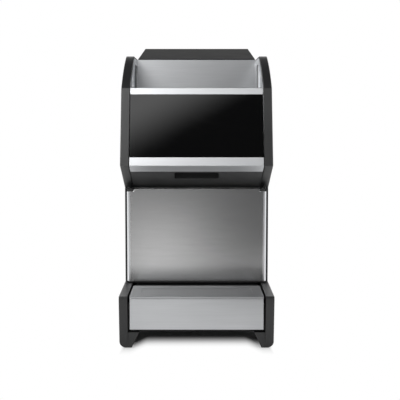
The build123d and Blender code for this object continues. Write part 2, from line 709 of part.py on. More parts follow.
with BuildPart() as base_chassis:
    chassis_tube(CHASSIS_FRONT, LEDGE_DEPTH, CHASSIS_TOP)
    chassis_tube(LEDGE_DEPTH, GUTTER_BACK, GUTTER_FLOOR)
    chassis_tube(GUTTER_BACK, REAR_PANEL_DEPTH, BASE_TOP)
    # Gutter walls
    for start, top in ((LEDGE_DEPTH - CHASSIS_SHEET, CHASSIS_TOP), (GUTTER_BACK, BASE_TOP)):
        block((-CHASSIS_TOP_HALF, CHASSIS_TOP_HALF), (back(start), back(start) + CHASSIS_SHEET),
              (GUTTER_FLOOR - CHASSIS_SHEET, top))
    # Cross wall behind the drawer
    wall_depth = DRAWER_FRONT_SET + DRAWER_FRONT_FOLD + PAN_LENGTH + PAN_REAR_SPACE
    for half, top in ((CHASSIS_HALF, GROOVE_FLOOR), (CHASSIS_TOP_HALF, BASE_TOP)):
        block((-half + 1, half - 1), (back(wall_depth), back(wall_depth) + CHASSIS_SHEET),
              (CHASSIS_FLOOR + 1, top - 1))
    # Notch at the rear edge for the harness and the pipes
    block((-HALF + REAR_NOTCH_MARGIN, HALF - REAR_NOTCH_MARGIN),
          (back(CABINET_BACK), back(REAR_PANEL_DEPTH) + 1),
          (BASE_TOP - CHASSIS_SHEET - 1, BASE_TOP + 1), Mode.SUBTRACT)
write(base_chassis, "base_chassis")

# Steel top of the base, with a folded nose at the front and a shallow inset
with BuildPart() as ledge_plate:
    block((-LEDGE_HALF_WIDTH, LEDGE_HALF_WIDTH), (back(LEDGE_FRONT), back(LEDGE_DEPTH)),
          (CHASSIS_TOP, BASE_TOP))
    block((-LEDGE_HALF_WIDTH, LEDGE_HALF_WIDTH), (back(LEDGE_FRONT), back(LEDGE_FRONT) + LEDGE_THICKNESS),
          (BASE_TOP - LEDGE_NOSE, BASE_TOP))
    front_edges = ledge_plate.faces().sort_by(Axis.Y)[0].edges().filter_by(Axis.X)
    fillet(front_edges, radius=LEDGE_ROUND)
    with BuildSketch(Plane.XY.offset(BASE_TOP)) as inset:
        with Locations((0, back((INSET_FRONT + INSET_BACK) / 2))):
            RectangleRounded(2 * INSET_HALF_WIDTH, INSET_BACK - INSET_FRONT, INSET_CORNER)
    extrude(inset.sketch, amount=-INSET_DEEP, mode=Mode.SUBTRACT)
write(ledge_plate, "ledge_plate")

# Drawer: folded steel front, moulded pan and a slide on each side
PAN_FRONT = DRAWER_FRONT_SET + DRAWER_FRONT_FOLD
PAN_BACK = PAN_FRONT + PAN_LENGTH
PAN_BOTTOM = DRAWER_BOTTOM + PAN_RAISE
PAN_TOP = DRAWER_TOP - PAN_HEADROOM
RUNNER_LENGTH = PAN_LENGTH - SLIDE_END_GAP

with BuildPart() as drawer_front:
    block((-LEDGE_HALF_WIDTH, LEDGE_HALF_WIDTH), (back(DRAWER_FRONT_SET), back(PAN_FRONT)),
          (DRAWER_BOTTOM, DRAWER_TOP))
    fillet(drawer_front.faces().sort_by(Axis.Y)[0].edges(), radius=SHEET_ROUND)
    block((-LEDGE_HALF_WIDTH + STEEL, LEDGE_HALF_WIDTH - STEEL),
          (back(DRAWER_FRONT_SET) + STEEL, back(PAN_FRONT) + 1),
          (DRAWER_BOTTOM + STEEL, DRAWER_TOP - STEEL), Mode.SUBTRACT)
write(drawer_front, "drawer_front")

with BuildPart() as drawer_pan:
    with BuildSketch(Plane.XY.offset(PAN_BOTTOM)) as pan_plan:
        with Locations((0, back((PAN_FRONT + PAN_BACK) / 2))):
            Rectangle(2 * PAN_HALF_WIDTH, PAN_LENGTH)
    extrude(pan_plan.sketch, amount=PAN_TOP - PAN_BOTTOM)
    fillet(drawer_pan.edges().filter_by(Axis.Z), radius=PAN_CORNER)
    offset(amount=-PAN_WALL, openings=drawer_pan.faces().sort_by(Axis.Z)[-1])
    # Boss behind the steel front that the front is screwed to
    block((-PAN_BOSS_HALF_WIDTH, PAN_BOSS_HALF_WIDTH),
          (back(DRAWER_FRONT_SET) + STEEL, back(PAN_FRONT) + PAN_WALL - 1),
          (PAN_BOTTOM + PAN_BOSS_LOW, PAN_TOP - PAN_BOSS_HIGH))
write(drawer_pan, "drawer_pan")

with BuildPart() as drawer_slides:
    for side in (-1, 1):
        inner_x = side * PAN_HALF_WIDTH
        run = (back(PAN_FRONT + SLIDE_END_GAP), back(PAN_FRONT + RUNNER_LENGTH))
        block((inner_x, inner_x + side * SLIDE_WIDTH), run, (SLIDE_LEVEL, SLIDE_LEVEL + SLIDE_HEIGHT))
write(drawer_slides, "drawer_slides")

with BuildPart() as drawer_runners:
    for side in (-1, 1):
        web_outer = side * (CHASSIS_HALF - CHASSIS_SHEET)
        web_inner = side * (PAN_HALF_WIDTH + SLIDE_WIDTH + SEAT_GAP)
        lip_end = side * (PAN_HALF_WIDTH + SEAT_GAP + RUNNER_REACH)
        run = (back(CHASSIS_FRONT + SLIDE_END_GAP), back(CHASSIS_FRONT + RUNNER_LENGTH))
        runner_low = SLIDE_LEVEL - RUNNER_LIP
        runner_top = SLIDE_LEVEL + SLIDE_HEIGHT + RUNNER_LIP
        block((web_inner, web_outer), run, (runner_low, runner_top))
        block((lip_end, web_inner), run, (runner_low, SLIDE_LEVEL - SEAT_GAP))
        block((lip_end, web_inner), run, (SLIDE_LEVEL + SLIDE_HEIGHT + SEAT_GAP, runner_top))
write(drawer_runners, "drawer_runners")

# Cold cabinet: steel shell, foam and moulded liner, one inside the other
LINER_FLANGE_HALF = CABINET_HALF - STEEL
SUCTION_X = EVAPORATOR_HALF_WIDTH - SUCTION_MARGIN
LIQUID_X = SUCTION_X - LIQUID_SPACING
PIPE_EXIT_HEIGHT = EVAPORATOR_HIGH - SUCTION_MARGIN


def wall_holes(depth_low, depth_high):
    """Holes through the cabinet's back for the pipes of the evaporator."""
    for x, radius in ((SUCTION_X, PIPE_RADIUS), (LIQUID_X, CAPILLARY_RADIUS)):
        rod(radius + SEAT_GAP, (x, back(depth_low), PIPE_EXIT_HEIGHT),
            (x, back(depth_high), PIPE_EXIT_HEIGHT), Mode.SUBTRACT)


def port_hole(x_low, x_high):
    """Hole through the cabinet's left wall for the milk hose port."""
    rod(PORT_RADIUS + PORT_WALL + RUNNING, (x_low, back(PORT_DEPTH), PORT_HEIGHT),
        (x_high, back(PORT_DEPTH), PORT_HEIGHT), Mode.SUBTRACT)


def switch_hole(radius, depth_low, depth_high):
    """Hole in the cabinet's front edge for the door switch."""
    rod(radius, (DOOR_SWITCH_X, back(depth_low), DOOR_SWITCH_HEIGHT),
        (DOOR_SWITCH_X, back(depth_high), DOOR_SWITCH_HEIGHT), Mode.SUBTRACT)


with BuildPart() as cabinet_shell:
    block((-CABINET_HALF, CABINET_HALF), (back(CABINET_FRONT), back(CABINET_BACK)), (BASE_TOP, CABINET_TOP))
    block((-CABINET_HALF + STEEL, CABINET_HALF - STEEL),
          (back(CABINET_FRONT) - 1, back(CABINET_BACK) - STEEL),
          (BASE_TOP + STEEL, CABINET_TOP - STEEL), Mode.SUBTRACT)
    wall_holes(CABINET_BACK - OVERCUT, CABINET_BACK + OVERCUT)
    port_hole(-CABINET_HALF - OVERCUT, -CABINET_HALF + OVERCUT)
write(cabinet_shell, "cabinet_shell")

with BuildPart() as cabinet_foam:
    foam_front = CABINET_FRONT + LINER_WALL
    block((-LINER_FLANGE_HALF, LINER_FLANGE_HALF), (back(foam_front), back(CABINET_BACK) - STEEL),
          (BASE_TOP + STEEL, CABINET_TOP - STEEL))
    liner_half = CAVITY_HALF_WIDTH + LINER_WALL
    block((-liner_half, liner_half), (back(foam_front) - 1, back(CAVITY_BACK + LINER_WALL)),
          (CAVITY_BOTTOM - LINER_WALL, CAVITY_TOP + LINER_WALL), Mode.SUBTRACT)
    wall_holes(CAVITY_BACK, CABINET_BACK + OVERCUT)
    port_hole(-CABINET_HALF, -CAVITY_HALF_WIDTH)
    switch_hole(DOOR_SWITCH_RADIUS + RUNNING, foam_front - 1, CABINET_FRONT + DOOR_SWITCH_LENGTH)
write(cabinet_foam, "cabinet_foam")

STANDOFF_X = EVAPORATOR_HALF_WIDTH - STANDOFF_MARGIN
STANDOFF_HEIGHTS = (EVAPORATOR_LOW + STANDOFF_MARGIN, EVAPORATOR_HIGH - STANDOFF_MARGIN)
EVAPORATOR_DEPTH = CAVITY_BACK - EVAPORATOR_STANDOFF
EVAPORATOR_TUBE_Y = back(EVAPORATOR_DEPTH) + EVAPORATOR_TUBE_RADIUS + RUNNING

with BuildPart() as inner_liner:
    block((-LINER_FLANGE_HALF, LINER_FLANGE_HALF), (back(CABINET_FRONT), back(CABINET_FRONT + LINER_WALL)),
          (BASE_TOP + STEEL, CABINET_TOP - STEEL))
    block((-liner_half, liner_half), (back(CABINET_FRONT), back(CAVITY_BACK + LINER_WALL)),
          (CAVITY_BOTTOM - LINER_WALL, CAVITY_TOP + LINER_WALL))
    block((-CAVITY_HALF_WIDTH, CAVITY_HALF_WIDTH), (back(CABINET_FRONT) - 1, back(CAVITY_BACK)),
          (CAVITY_BOTTOM, CAVITY_TOP), Mode.SUBTRACT)
    mouth = inner_liner.faces().sort_by(Axis.Y)[0].inner_wires()[0].edges()
    fillet(mouth, radius=LINER_MOUTH_ROUND)
    for x in (-STANDOFF_X, STANDOFF_X):
        for height in STANDOFF_HEIGHTS:
            rod(STANDOFF_RADIUS, (x, back(CAVITY_BACK) + 1, height), (x, back(EVAPORATOR_DEPTH), height))
    wall_holes(CAVITY_BACK - 1, CABINET_BACK)
    port_hole(-CABINET_HALF, -CAVITY_HALF_WIDTH + OVERCUT)
    switch_hole(DOOR_SWITCH_RADIUS + RUNNING, CABINET_FRONT - OVERCUT, CABINET_FRONT + 2 * OVERCUT)
write(inner_liner, "inner_liner")

with BuildPart() as evaporator_plate:
    block((-EVAPORATOR_HALF_WIDTH, EVAPORATOR_HALF_WIDTH),
          (back(EVAPORATOR_DEPTH) - EVAPORATOR_PLATE, back(EVAPORATOR_DEPTH)),
          (EVAPORATOR_LOW, EVAPORATOR_HIGH))
    fillet(evaporator_plate.edges().filter_by(Axis.Y), radius=EVAPORATOR_CORNER)
write(evaporator_plate, "evaporator_plate")

# Evaporator pipe: one serpentine behind the plate, from the capillary's end to the suction pipe
with BuildPart() as evaporator_pipe:
    reach = EVAPORATOR_HALF_WIDTH - EVAPORATOR_TURN_MARGIN
    low = EVAPORATOR_LOW + EVAPORATOR_PIPE_LOW
    pitch = (PIPE_EXIT_HEIGHT - EVAPORATOR_PIPE_HIGH - low) / (EVAPORATOR_PASSES - 1)
    route = [(SUCTION_X, EVAPORATOR_TUBE_Y, PIPE_EXIT_HEIGHT - PIPE_RADIUS - SEAT_GAP)]
    route.append((SUCTION_X, EVAPORATOR_TUBE_Y, low))
    side = -1
    for turn in range(EVAPORATOR_PASSES - 1):
        route.append((side * reach, EVAPORATOR_TUBE_Y, low + turn * pitch))
        route.append((side * reach, EVAPORATOR_TUBE_Y, low + (turn + 1) * pitch))
        side = -side
    route.append((LIQUID_X, EVAPORATOR_TUBE_Y, low + (EVAPORATOR_PASSES - 1) * pitch))
    route.append((LIQUID_X, EVAPORATOR_TUBE_Y, PIPE_EXIT_HEIGHT - CAPILLARY_RADIUS - SEAT_GAP))
    pipe(EVAPORATOR_TUBE_RADIUS, route, pitch / 2 - 0.5)
write(evaporator_pipe, "evaporator_pipe")

with BuildPart() as hose_grommet:
    rod(PORT_RADIUS + PORT_WALL, (-HALF, back(PORT_DEPTH), PORT_HEIGHT),
        (-CAVITY_HALF_WIDTH + PORT_FLANGE, back(PORT_DEPTH), PORT_HEIGHT))
    rod(PORT_RADIUS + 2 * PORT_WALL, (-CAVITY_HALF_WIDTH, back(PORT_DEPTH), PORT_HEIGHT),
        (-CAVITY_HALF_WIDTH + PORT_FLANGE, back(PORT_DEPTH), PORT_HEIGHT))
    rod(PORT_RADIUS, (-HALF - 1, back(PORT_DEPTH), PORT_HEIGHT),
        (-CAVITY_HALF_WIDTH + PORT_FLANGE + 1, back(PORT_DEPTH), PORT_HEIGHT), Mode.SUBTRACT)
write(hose_grommet, "hose_grommet")

# Milk container, its lid and the pickup tube
CONTAINER_X = (CONTAINER_LEFT + CONTAINER_RIGHT) / 2
CONTAINER_DEPTH = (CONTAINER_FRONT + CONTAINER_BACK) / 2
CONTAINER_TOP = CAVITY_BOTTOM + CONTAINER_HEIGHT
PICKUP_DEPTH = CONTAINER_DEPTH - PICKUP_FORWARD


def container_plan(level, shrink):
    """The container's rounded plan at a level, drawn in by a margin."""
    with BuildSketch(Plane.XY.offset(level)) as plan:
        with Locations((CONTAINER_X, back(CONTAINER_DEPTH))):
            RectangleRounded(CONTAINER_RIGHT - CONTAINER_LEFT - 2 * shrink,
                             CONTAINER_BACK - CONTAINER_FRONT - 2 * shrink, CONTAINER_CORNER - shrink)
    return plan.sketch


with BuildPart() as milk_container:
    extrude(container_plan(CAVITY_BOTTOM, 0), amount=CONTAINER_HEIGHT)
    extrude(container_plan(CAVITY_BOTTOM + CONTAINER_WALL, CONTAINER_WALL), amount=CONTAINER_HEIGHT,
            mode=Mode.SUBTRACT)
write(milk_container, "milk_container")

with BuildPart() as container_lid:
    extrude(container_plan(CONTAINER_TOP, 0), amount=LID_THICKNESS)
    lip = CONTAINER_WALL + SEAT_GAP
    extrude(container_plan(CONTAINER_TOP, lip), amount=-LID_LIP)
    extrude(container_plan(CONTAINER_TOP, lip + LID_RIM), amount=-LID_LIP, mode=Mode.SUBTRACT)
    fillet(container_lid.faces().sort_by(Axis.Z)[-1].edges(), radius=LID_ROUND)
    rod(PICKUP_RADIUS + RUNNING, (CONTAINER_X, back(PICKUP_DEPTH), CONTAINER_TOP - OVERCUT),
        (CONTAINER_X, back(PICKUP_DEPTH), CONTAINER_TOP + LID_THICKNESS + OVERCUT), Mode.SUBTRACT)
write(container_lid, "container_lid")

with BuildPart() as pickup_tube:
    tube_foot = (CONTAINER_X, back(PICKUP_DEPTH), CAVITY_BOTTOM + CONTAINER_WALL + PICKUP_FOOT_GAP)
    tube_head = (CONTAINER_X, back(PICKUP_DEPTH), CONTAINER_TOP + LID_THICKNESS + PICKUP_RISE)
    rod(PICKUP_RADIUS, tube_foot, tube_head)
    # Collar that rests on the lid, and the hose barb at the top
    collar_level = CONTAINER_TOP + LID_THICKNESS
    rod(PICKUP_RADIUS + PICKUP_COLLAR, (CONTAINER_X, back(PICKUP_DEPTH), collar_level),
        (CONTAINER_X, back(PICKUP_DEPTH), collar_level + PICKUP_COLLAR))
    with BuildSketch(Plane.XY.offset(collar_level + PICKUP_RISE - PICKUP_BARB_DROP)) as barb:
        with Locations((CONTAINER_X, back(PICKUP_DEPTH))):
            Circle(PICKUP_RADIUS + 1)
    extrude(barb.sketch, amount=PICKUP_BARB_LENGTH, taper=PICKUP_BARB_TAPER)
    rod(PICKUP_BORE, (tube_foot[0], tube_foot[1], tube_foot[2] - 1),
        (tube_head[0], tube_head[1], tube_head[2] + 1), Mode.SUBTRACT)
write(pickup_tube, "pickup_tube")

# Door of the cold cabinet
DOOR_STEEL_BOTTOM = DOOR_BOTTOM + DOOR_RAIL_HEIGHT
CAP_INNER_X = DOOR_HALF_WIDTH - DOOR_CAP_WIDTH
CAP_BOTTOM = DOOR_TOP - DOOR_CAP_HEIGHT

with BuildPart() as door_skin:
    block((-DOOR_STEEL_HALF_WIDTH, DOOR_STEEL_HALF_WIDTH),
          (back(DOOR_FRONT), back(DOOR_FRONT + DOOR_SKIN_DEPTH)), (DOOR_STEEL_BOTTOM, DOOR_TOP))
    for side in (-1, 1):
        block((side * CAP_INNER_X, side * (DOOR_STEEL_HALF_WIDTH + 1)),
              (back(DOOR_FRONT) - 1, back(DOOR_BACK)), (CAP_BOTTOM, DOOR_TOP + 1), Mode.SUBTRACT)
    fillet(door_skin.faces().sort_by(Axis.Y)[0].edges(), radius=SHEET_ROUND)
    offset(amount=-STEEL, openings=door_skin.faces().sort_by(Axis.Y)[-1])
write(door_skin, "door_skin")

with BuildPart() as door_foam:
    block((-DOOR_STEEL_HALF_WIDTH + STEEL, DOOR_STEEL_HALF_WIDTH - STEEL),
          (back(DOOR_FRONT) + STEEL, back(DOOR_BACK)), (DOOR_STEEL_BOTTOM + STEEL, DOOR_TOP - STEEL))
    for side in (-1, 1):
        block((side * (CAP_INNER_X - STEEL), side * (DOOR_STEEL_HALF_WIDTH + 1)),
              (back(DOOR_FRONT) - 1, back(DOOR_BACK) + 1), (CAP_BOTTOM - STEEL, DOOR_TOP + 1), Mode.SUBTRACT)
write(door_foam, "door_foam")


def hinge_bore(low, high):
    """Bore for a door hinge pin."""
    rod(DOOR_PIN_RADIUS + RUNNING, (DOOR_HINGE_X, back(DOOR_HINGE_DEPTH), low),
        (DOOR_HINGE_X, back(DOOR_HINGE_DEPTH), high), Mode.SUBTRACT)


def edge_trim(side):
    """Bevelled trim bar beside the steel front."""
    inner_x = side * DOOR_STEEL_HALF_WIDTH
    outer_x = side * DOOR_HALF_WIDTH
    with BuildSketch(Plane.XY.offset(DOOR_STEEL_BOTTOM)) as section:
        with BuildLine():
            Polyline(
                (inner_x, back(DOOR_FRONT)),
                (outer_x - side * DOOR_TRIM_BEVEL, back(DOOR_FRONT)),
                (outer_x, back(DOOR_FRONT) + DOOR_TRIM_BEVEL),
                (outer_x, back(DOOR_BACK)),
                (inner_x, back(DOOR_BACK)),
                close=True,
            )
        make_face()
    extrude(section.sketch, amount=CAP_BOTTOM - DOOR_STEEL_BOTTOM)


with BuildPart() as door_edge_trims:
    edge_trim(-1)
    edge_trim(1)
    hinge_bore(DOOR_STEEL_BOTTOM - 1, DOOR_STEEL_BOTTOM + DOOR_PIN_IN_TRIM)
write(door_edge_trims, "door_edge_trims")


with BuildPart() as door_corner_caps:
    for side in (-1, 1):
        block((side * CAP_INNER_X, side * DOOR_HALF_WIDTH), (back(DOOR_FRONT), back(DOOR_BACK)),
              (CAP_BOTTOM, DOOR_TOP))
    fillet(door_corner_caps.faces().sort_by(Axis.Y)[0:2].edges().filter_by(Axis.Z), radius=1.0)
    hinge_bore(CAP_BOTTOM - 1, DOOR_TOP + 1)
write(door_corner_caps, "door_corner_caps")

with BuildPart() as door_bottom_rail:
    block((-DOOR_HALF_WIDTH, DOOR_HALF_WIDTH), (back(DOOR_FRONT) + 1, back(DOOR_BACK)),
          (DOOR_BOTTOM, DOOR_STEEL_BOTTOM))
    hinge_bore(DOOR_BOTTOM - 1, DOOR_STEEL_BOTTOM + 1)
write(door_bottom_rail, "door_bottom_rail")

with BuildPart() as door_inner_panel:
    block((-DOOR_HALF_WIDTH, DOOR_HALF_WIDTH), (back(DOOR_BACK), back(DOOR_BACK) + DOOR_PANEL),
          (DOOR_BOTTOM, DOOR_TOP))
    with BuildSketch(Plane.XZ.offset(-back(DOOR_BACK) - DOOR_PANEL)) as plug:
        with Locations((0, (DOOR_BOTTOM + DOOR_TOP) / 2)):
            RectangleRounded(2 * (DOOR_HALF_WIDTH - DOOR_PLUG_MARGIN),
                             DOOR_TOP - DOOR_BOTTOM - 2 * DOOR_PLUG_MARGIN, DOOR_PLUG_CORNER)
    extrude(plug.sketch, amount=-DOOR_PLUG, taper=DOOR_PLUG_TAPER)
write(door_inner_panel, "door_inner_panel")

with BuildPart() as door_gasket:
    gasket_half = DOOR_HALF_WIDTH - GASKET_MARGIN
    gasket_tall = DOOR_TOP - DOOR_BOTTOM - 2 * GASKET_MARGIN
    gasket_thick = CABINET_FRONT - SEAT_GAP - DOOR_BACK - DOOR_PANEL
    with BuildSketch(Plane.XZ.offset(-back(DOOR_BACK) - DOOR_PANEL)) as ring:
        with Locations((0, (DOOR_BOTTOM + DOOR_TOP) / 2)):
            RectangleRounded(2 * gasket_half, gasket_tall, GASKET_CORNER)
            RectangleRounded(2 * (gasket_half - GASKET_WIDTH), gasket_tall - 2 * GASKET_WIDTH,
                             GASKET_INNER_CORNER, mode=Mode.SUBTRACT)
    extrude(ring.sketch, amount=-gasket_thick)
write(door_gasket, "door_gasket")

with BuildPart() as door_hinge_pins:
    pin_x, pin_y = DOOR_HINGE_X, back(DOOR_HINGE_DEPTH)
    cheek_above = NICHE_TOP + (NICHE_DEPTH - DOOR_HINGE_DEPTH) * tan(CHIN)
    rod(DOOR_PIN_RADIUS, (pin_x, pin_y, BASE_TOP - DOOR_PIN_IN_FRAME + SEAT_GAP),
        (pin_x, pin_y, DOOR_STEEL_BOTTOM + DOOR_PIN_IN_TRIM - SEAT_GAP))
    # Washer that carries the door on the base
    rod(DOOR_PIN_RADIUS + DOOR_WASHER, (pin_x, pin_y, BASE_TOP), (pin_x, pin_y, DOOR_BOTTOM - SEAT_GAP))
    rod(DOOR_PIN_RADIUS, (pin_x, pin_y, DOOR_TOP - DOOR_PIN_IN_CAP),
        (pin_x, pin_y, cheek_above + DOOR_PIN_ABOVE_CHIN))
write(door_hinge_pins, "door_hinge_pins")

# Door switch: housing in the liner's front edge, plunger towards the door
with BuildPart() as door_switch:
    switch_end = CABINET_FRONT + DOOR_SWITCH_LENGTH - SEAT_GAP
    rod(DOOR_SWITCH_RADIUS, (DOOR_SWITCH_X, back(CABINET_FRONT), DOOR_SWITCH_HEIGHT),
        (DOOR_SWITCH_X, back(switch_end), DOOR_SWITCH_HEIGHT))
    rod(PLUNGER_RADIUS + RUNNING, (DOOR_SWITCH_X, back(CABINET_FRONT) - 1, DOOR_SWITCH_HEIGHT),
        (DOOR_SWITCH_X, back(switch_end) - DOOR_SWITCH_END, DOOR_SWITCH_HEIGHT), Mode.SUBTRACT)
write(door_switch, "door_switch")

with BuildPart() as switch_plunger:
    plunger_back = switch_end - DOOR_SWITCH_END - PLUNGER_TRAVEL - SEAT_GAP
    rod(PLUNGER_RADIUS, (DOOR_SWITCH_X, back(PLUG_BACK + SEAT_GAP), DOOR_SWITCH_HEIGHT),
        (DOOR_SWITCH_X, back(plunger_back), DOOR_SWITCH_HEIGHT))
    fillet(switch_plunger.faces().sort_by(Axis.Y)[0].edges(), radius=PLUNGER_ROUND)
write(switch_plunger, "switch_plunger")

# Front flap: glass on a moulded carrier between a top rail and a bent lower rail
FLAP_PLANE = Plane(origin=(0, *face_point(0, 0)), x_dir=(1, 0, 0), z_dir=(0, -cos(LEAN), sin(LEAN)))
GLASS_LOW = LOWER_RAIL_FACE
GLASS_HIGH = FACE_LENGTH - TOP_RAIL_FACE
CARRIER_INSET = FLAP_SET + FLAP_GLASS
RAIL_INSET = FLAP_SET - RAIL_PROUD_OF_GLASS


def meeting(point, direction, other, heading):
    """Where two lines of the side view cross."""
    cross = direction[0] * heading[1] - direction[1] * heading[0]
    share = ((other[0] - point[0]) * heading[1] - (other[1] - point[1]) * heading[0]) / cross
    return (point[0] + share * direction[0], point[1] + share * direction[1])


def flap_slab(half_width, low, high, inset, thickness):
    """A plate in the flap's own sloping plane, from an inset backwards."""
    with BuildSketch(FLAP_PLANE.offset(-inset)) as face:
        with Locations((0, (low + high) / 2)):
            Rectangle(2 * half_width, high - low)
    extrude(face.sketch, amount=-thickness)


with BuildPart() as flap_glass:
    flap_slab(FLAP_HALF_WIDTH - FLAP_GLASS_MARGIN, GLASS_LOW, GLASS_HIGH, FLAP_SET, FLAP_GLASS)
    chamfer(flap_glass.faces().sort_by(Axis.Y)[0].edges(), length=FLAP_GLASS_CHAMFER)
write(flap_glass, "flap_glass")

with BuildPart() as flap_carrier:
    carrier_half = FLAP_HALF_WIDTH - CARRIER_MARGIN
    carrier_back = CARRIER_INSET + FLAP_CARRIER
    rim_top = CARRIER_RIM_LOW + CARRIER_RIM
    flap_slab(carrier_half, 2 * LOWER_RAIL_SHEET + CARRIER_MARGIN, GLASS_HIGH, CARRIER_INSET, FLAP_CARRIER)
    # Stiffening rim on the inside
    flap_slab(carrier_half, CARRIER_RIM_LOW, rim_top, carrier_back, CARRIER_RIM_DEEP)
    for side in (-1, 1):
        with BuildSketch(FLAP_PLANE.offset(-carrier_back)) as rim:
            with Locations((side * (carrier_half - CARRIER_RIM / 2 - 1), (rim_top + GLASS_HIGH) / 2)):
                Rectangle(CARRIER_RIM, GLASS_HIGH - rim_top)
        extrude(rim.sketch, amount=-CARRIER_SIDE_RIM_DEEP)
write(flap_carrier, "flap_carrier")

with BuildPart() as flap_top_rail:
    side_profile(
        [
            face_point(GLASS_HIGH, RAIL_INSET),
            face_point(FACE_LENGTH + TOP_RAIL_PROUD, RAIL_INSET),
            face_point(FACE_LENGTH + TOP_RAIL_PROUD, FLAP_SET + TOP_RAIL_THICKNESS),
            face_point(GLASS_HIGH, FLAP_SET + TOP_RAIL_THICKNESS),
        ],
        -FLAP_HALF_WIDTH, FLAP_HALF_WIDTH,
    )
    fillet(flap_top_rail.edges().filter_by(Axis.X).sort_by(Axis.Z)[-2:], radius=TOP_RAIL_ROUND)
    for side in (-1, 1):
        rod(FLAP_PIN_RADIUS + RUNNING, (side * (FLAP_HALF_WIDTH + 1), FLAP_AXIS_Y, FLAP_AXIS_Z),
            (side * (FLAP_HALF_WIDTH - FLAP_PIN_IN_RAIL), FLAP_AXIS_Y, FLAP_AXIS_Z), Mode.SUBTRACT)
write(flap_top_rail, "flap_top_rail")

with BuildPart() as flap_lower_rail:
    bend = meeting(face_point(0, RAIL_INSET), (sin(LEAN), cos(LEAN)),
                   chin_point(0, LOWER_RAIL_SET), (cos(CHIN), -sin(CHIN)))
    under_end = (bend[0] + LOWER_RAIL_UNDER * cos(CHIN), bend[1] - LOWER_RAIL_UNDER * sin(CHIN))
    side_profile(folded_sheet([face_point(GLASS_LOW, RAIL_INSET), bend, under_end], LOWER_RAIL_SHEET),
                 -FLAP_HALF_WIDTH, FLAP_HALF_WIDTH)
    fillet(flap_lower_rail.edges().filter_by(Axis.X).sort_by_distance((0, *bend))[0], radius=LOWER_RAIL_BEND)
    # Foot that joins the rail to the carrier
    side_profile(
        [
            face_point(LOWER_RAIL_FOOT, RAIL_INSET + LOWER_RAIL_SHEET / 2),
            face_point(LOWER_RAIL_FOOT, CARRIER_INSET),
            face_point(GLASS_LOW, CARRIER_INSET),
            face_point(GLASS_LOW, RAIL_INSET + LOWER_RAIL_SHEET / 2),
        ],
        -FLAP_HALF_WIDTH + LOWER_RAIL_FOOT_MARGIN, FLAP_HALF_WIDTH - LOWER_RAIL_FOOT_MARGIN,
    )
write(flap_lower_rail, "flap_lower_rail")

with BuildPart() as flap_hinge_pins:
    for side in (-1, 1):
        pin_root = side * (FLAP_HALF_WIDTH - FLAP_PIN_IN_RAIL + SEAT_GAP)
        pin_end = side * (INNER + FLAP_PIN_IN_CHEEK - SEAT_GAP)
        rod(FLAP_PIN_RADIUS, (pin_root, FLAP_AXIS_Y, FLAP_AXIS_Z), (pin_end, FLAP_AXIS_Y, FLAP_AXIS_Z))
write(flap_hinge_pins, "flap_hinge_pins")

# Underside band: bent sheet with the finger recess behind the lower rail's edge
BAND_STEP = (BAND_FRONT - NOSE_LOW_DEPTH - BAND_SET * sin(CHIN)) / cos(CHIN)
BAND_RUN = (NOSE_LOW_HEIGHT + BAND_SET * cos(CHIN) - CABINET_TOP) / sin(CHIN)
BAND_START = chin_point(BAND_STEP, BAND_SET)
BAND_END = chin_point(BAND_RUN, BAND_SET)
GRIP_PLANE = Plane(origin=(0, *BAND_START), x_dir=(1, 0, 0), z_dir=(0, sin(CHIN), cos(CHIN)))

with BuildPart() as underside_band:
    band_path = [
        (back(BAND_FRONT + BAND_TOP_FLANGE), SHELF_UNDER),
        (back(BAND_FRONT), SHELF_UNDER),
        BAND_START,
        BAND_END,
        (BAND_END[0] + BAND_REAR_FLANGE, CABINET_TOP),
    ]
    side_profile(folded_sheet(band_path, BAND_SHEET), -INNER + FIT_GAP, INNER - FIT_GAP)
    with BuildSketch(GRIP_PLANE) as grip_outer:
        with Locations((0, GRIP_START + GRIP_LENGTH / 2)):
            RectangleRounded(2 * (GRIP_HALF_WIDTH + GRIP_WALL), GRIP_LENGTH + 2 * GRIP_WALL,
                             GRIP_CORNER + GRIP_WALL)
    extrude(grip_outer.sketch, amount=GRIP_DEEP + GRIP_WALL)
    with BuildSketch(GRIP_PLANE.offset(-1)) as grip_inner:
        with Locations((0, GRIP_START + GRIP_LENGTH / 2)):
            RectangleRounded(2 * GRIP_HALF_WIDTH, GRIP_LENGTH, GRIP_CORNER)
    extrude(grip_inner.sketch, amount=GRIP_DEEP + 1, mode=Mode.SUBTRACT)
write(underside_band, "underside_band")

# Cup bay: warm shelf, back wall and side liners
with BuildPart() as cup_shelf:
    shelf_half = INNER - STEEL - SEAT_GAP
    block((-shelf_half, shelf_half), (back(SHELF_FRONT), back(BAY_BACK) - SEAT_GAP), (SHELF_UNDER, SHELF_TOP))
    block((-shelf_half, shelf_half), (back(SHELF_FRONT), back(SHELF_FRONT) + SHELF_SHEET),
          (SHELF_UNDER, SHELF_TOP + SHELF_LIP))
write(cup_shelf, "cup_shelf")

with BuildPart() as shelf_heater:
    heater_half = shelf_half - HEATER_SIDE_MARGIN
    block((-heater_half, heater_half),
          (back(SHELF_FRONT + HEATER_FRONT_MARGIN), back(BAY_BACK - HEATER_REAR_MARGIN)),
          (SHELF_UNDER - HEATER_THICKNESS, SHELF_UNDER))
    fillet(shelf_heater.edges().filter_by(Axis.Z), radius=HEATER_CORNER)
write(shelf_heater, "shelf_heater")

WALL_HALF = INNER - STEEL - SEAT_GAP
HOOD_SEAT = PANEL_HEIGHT - HOOD_SHEET

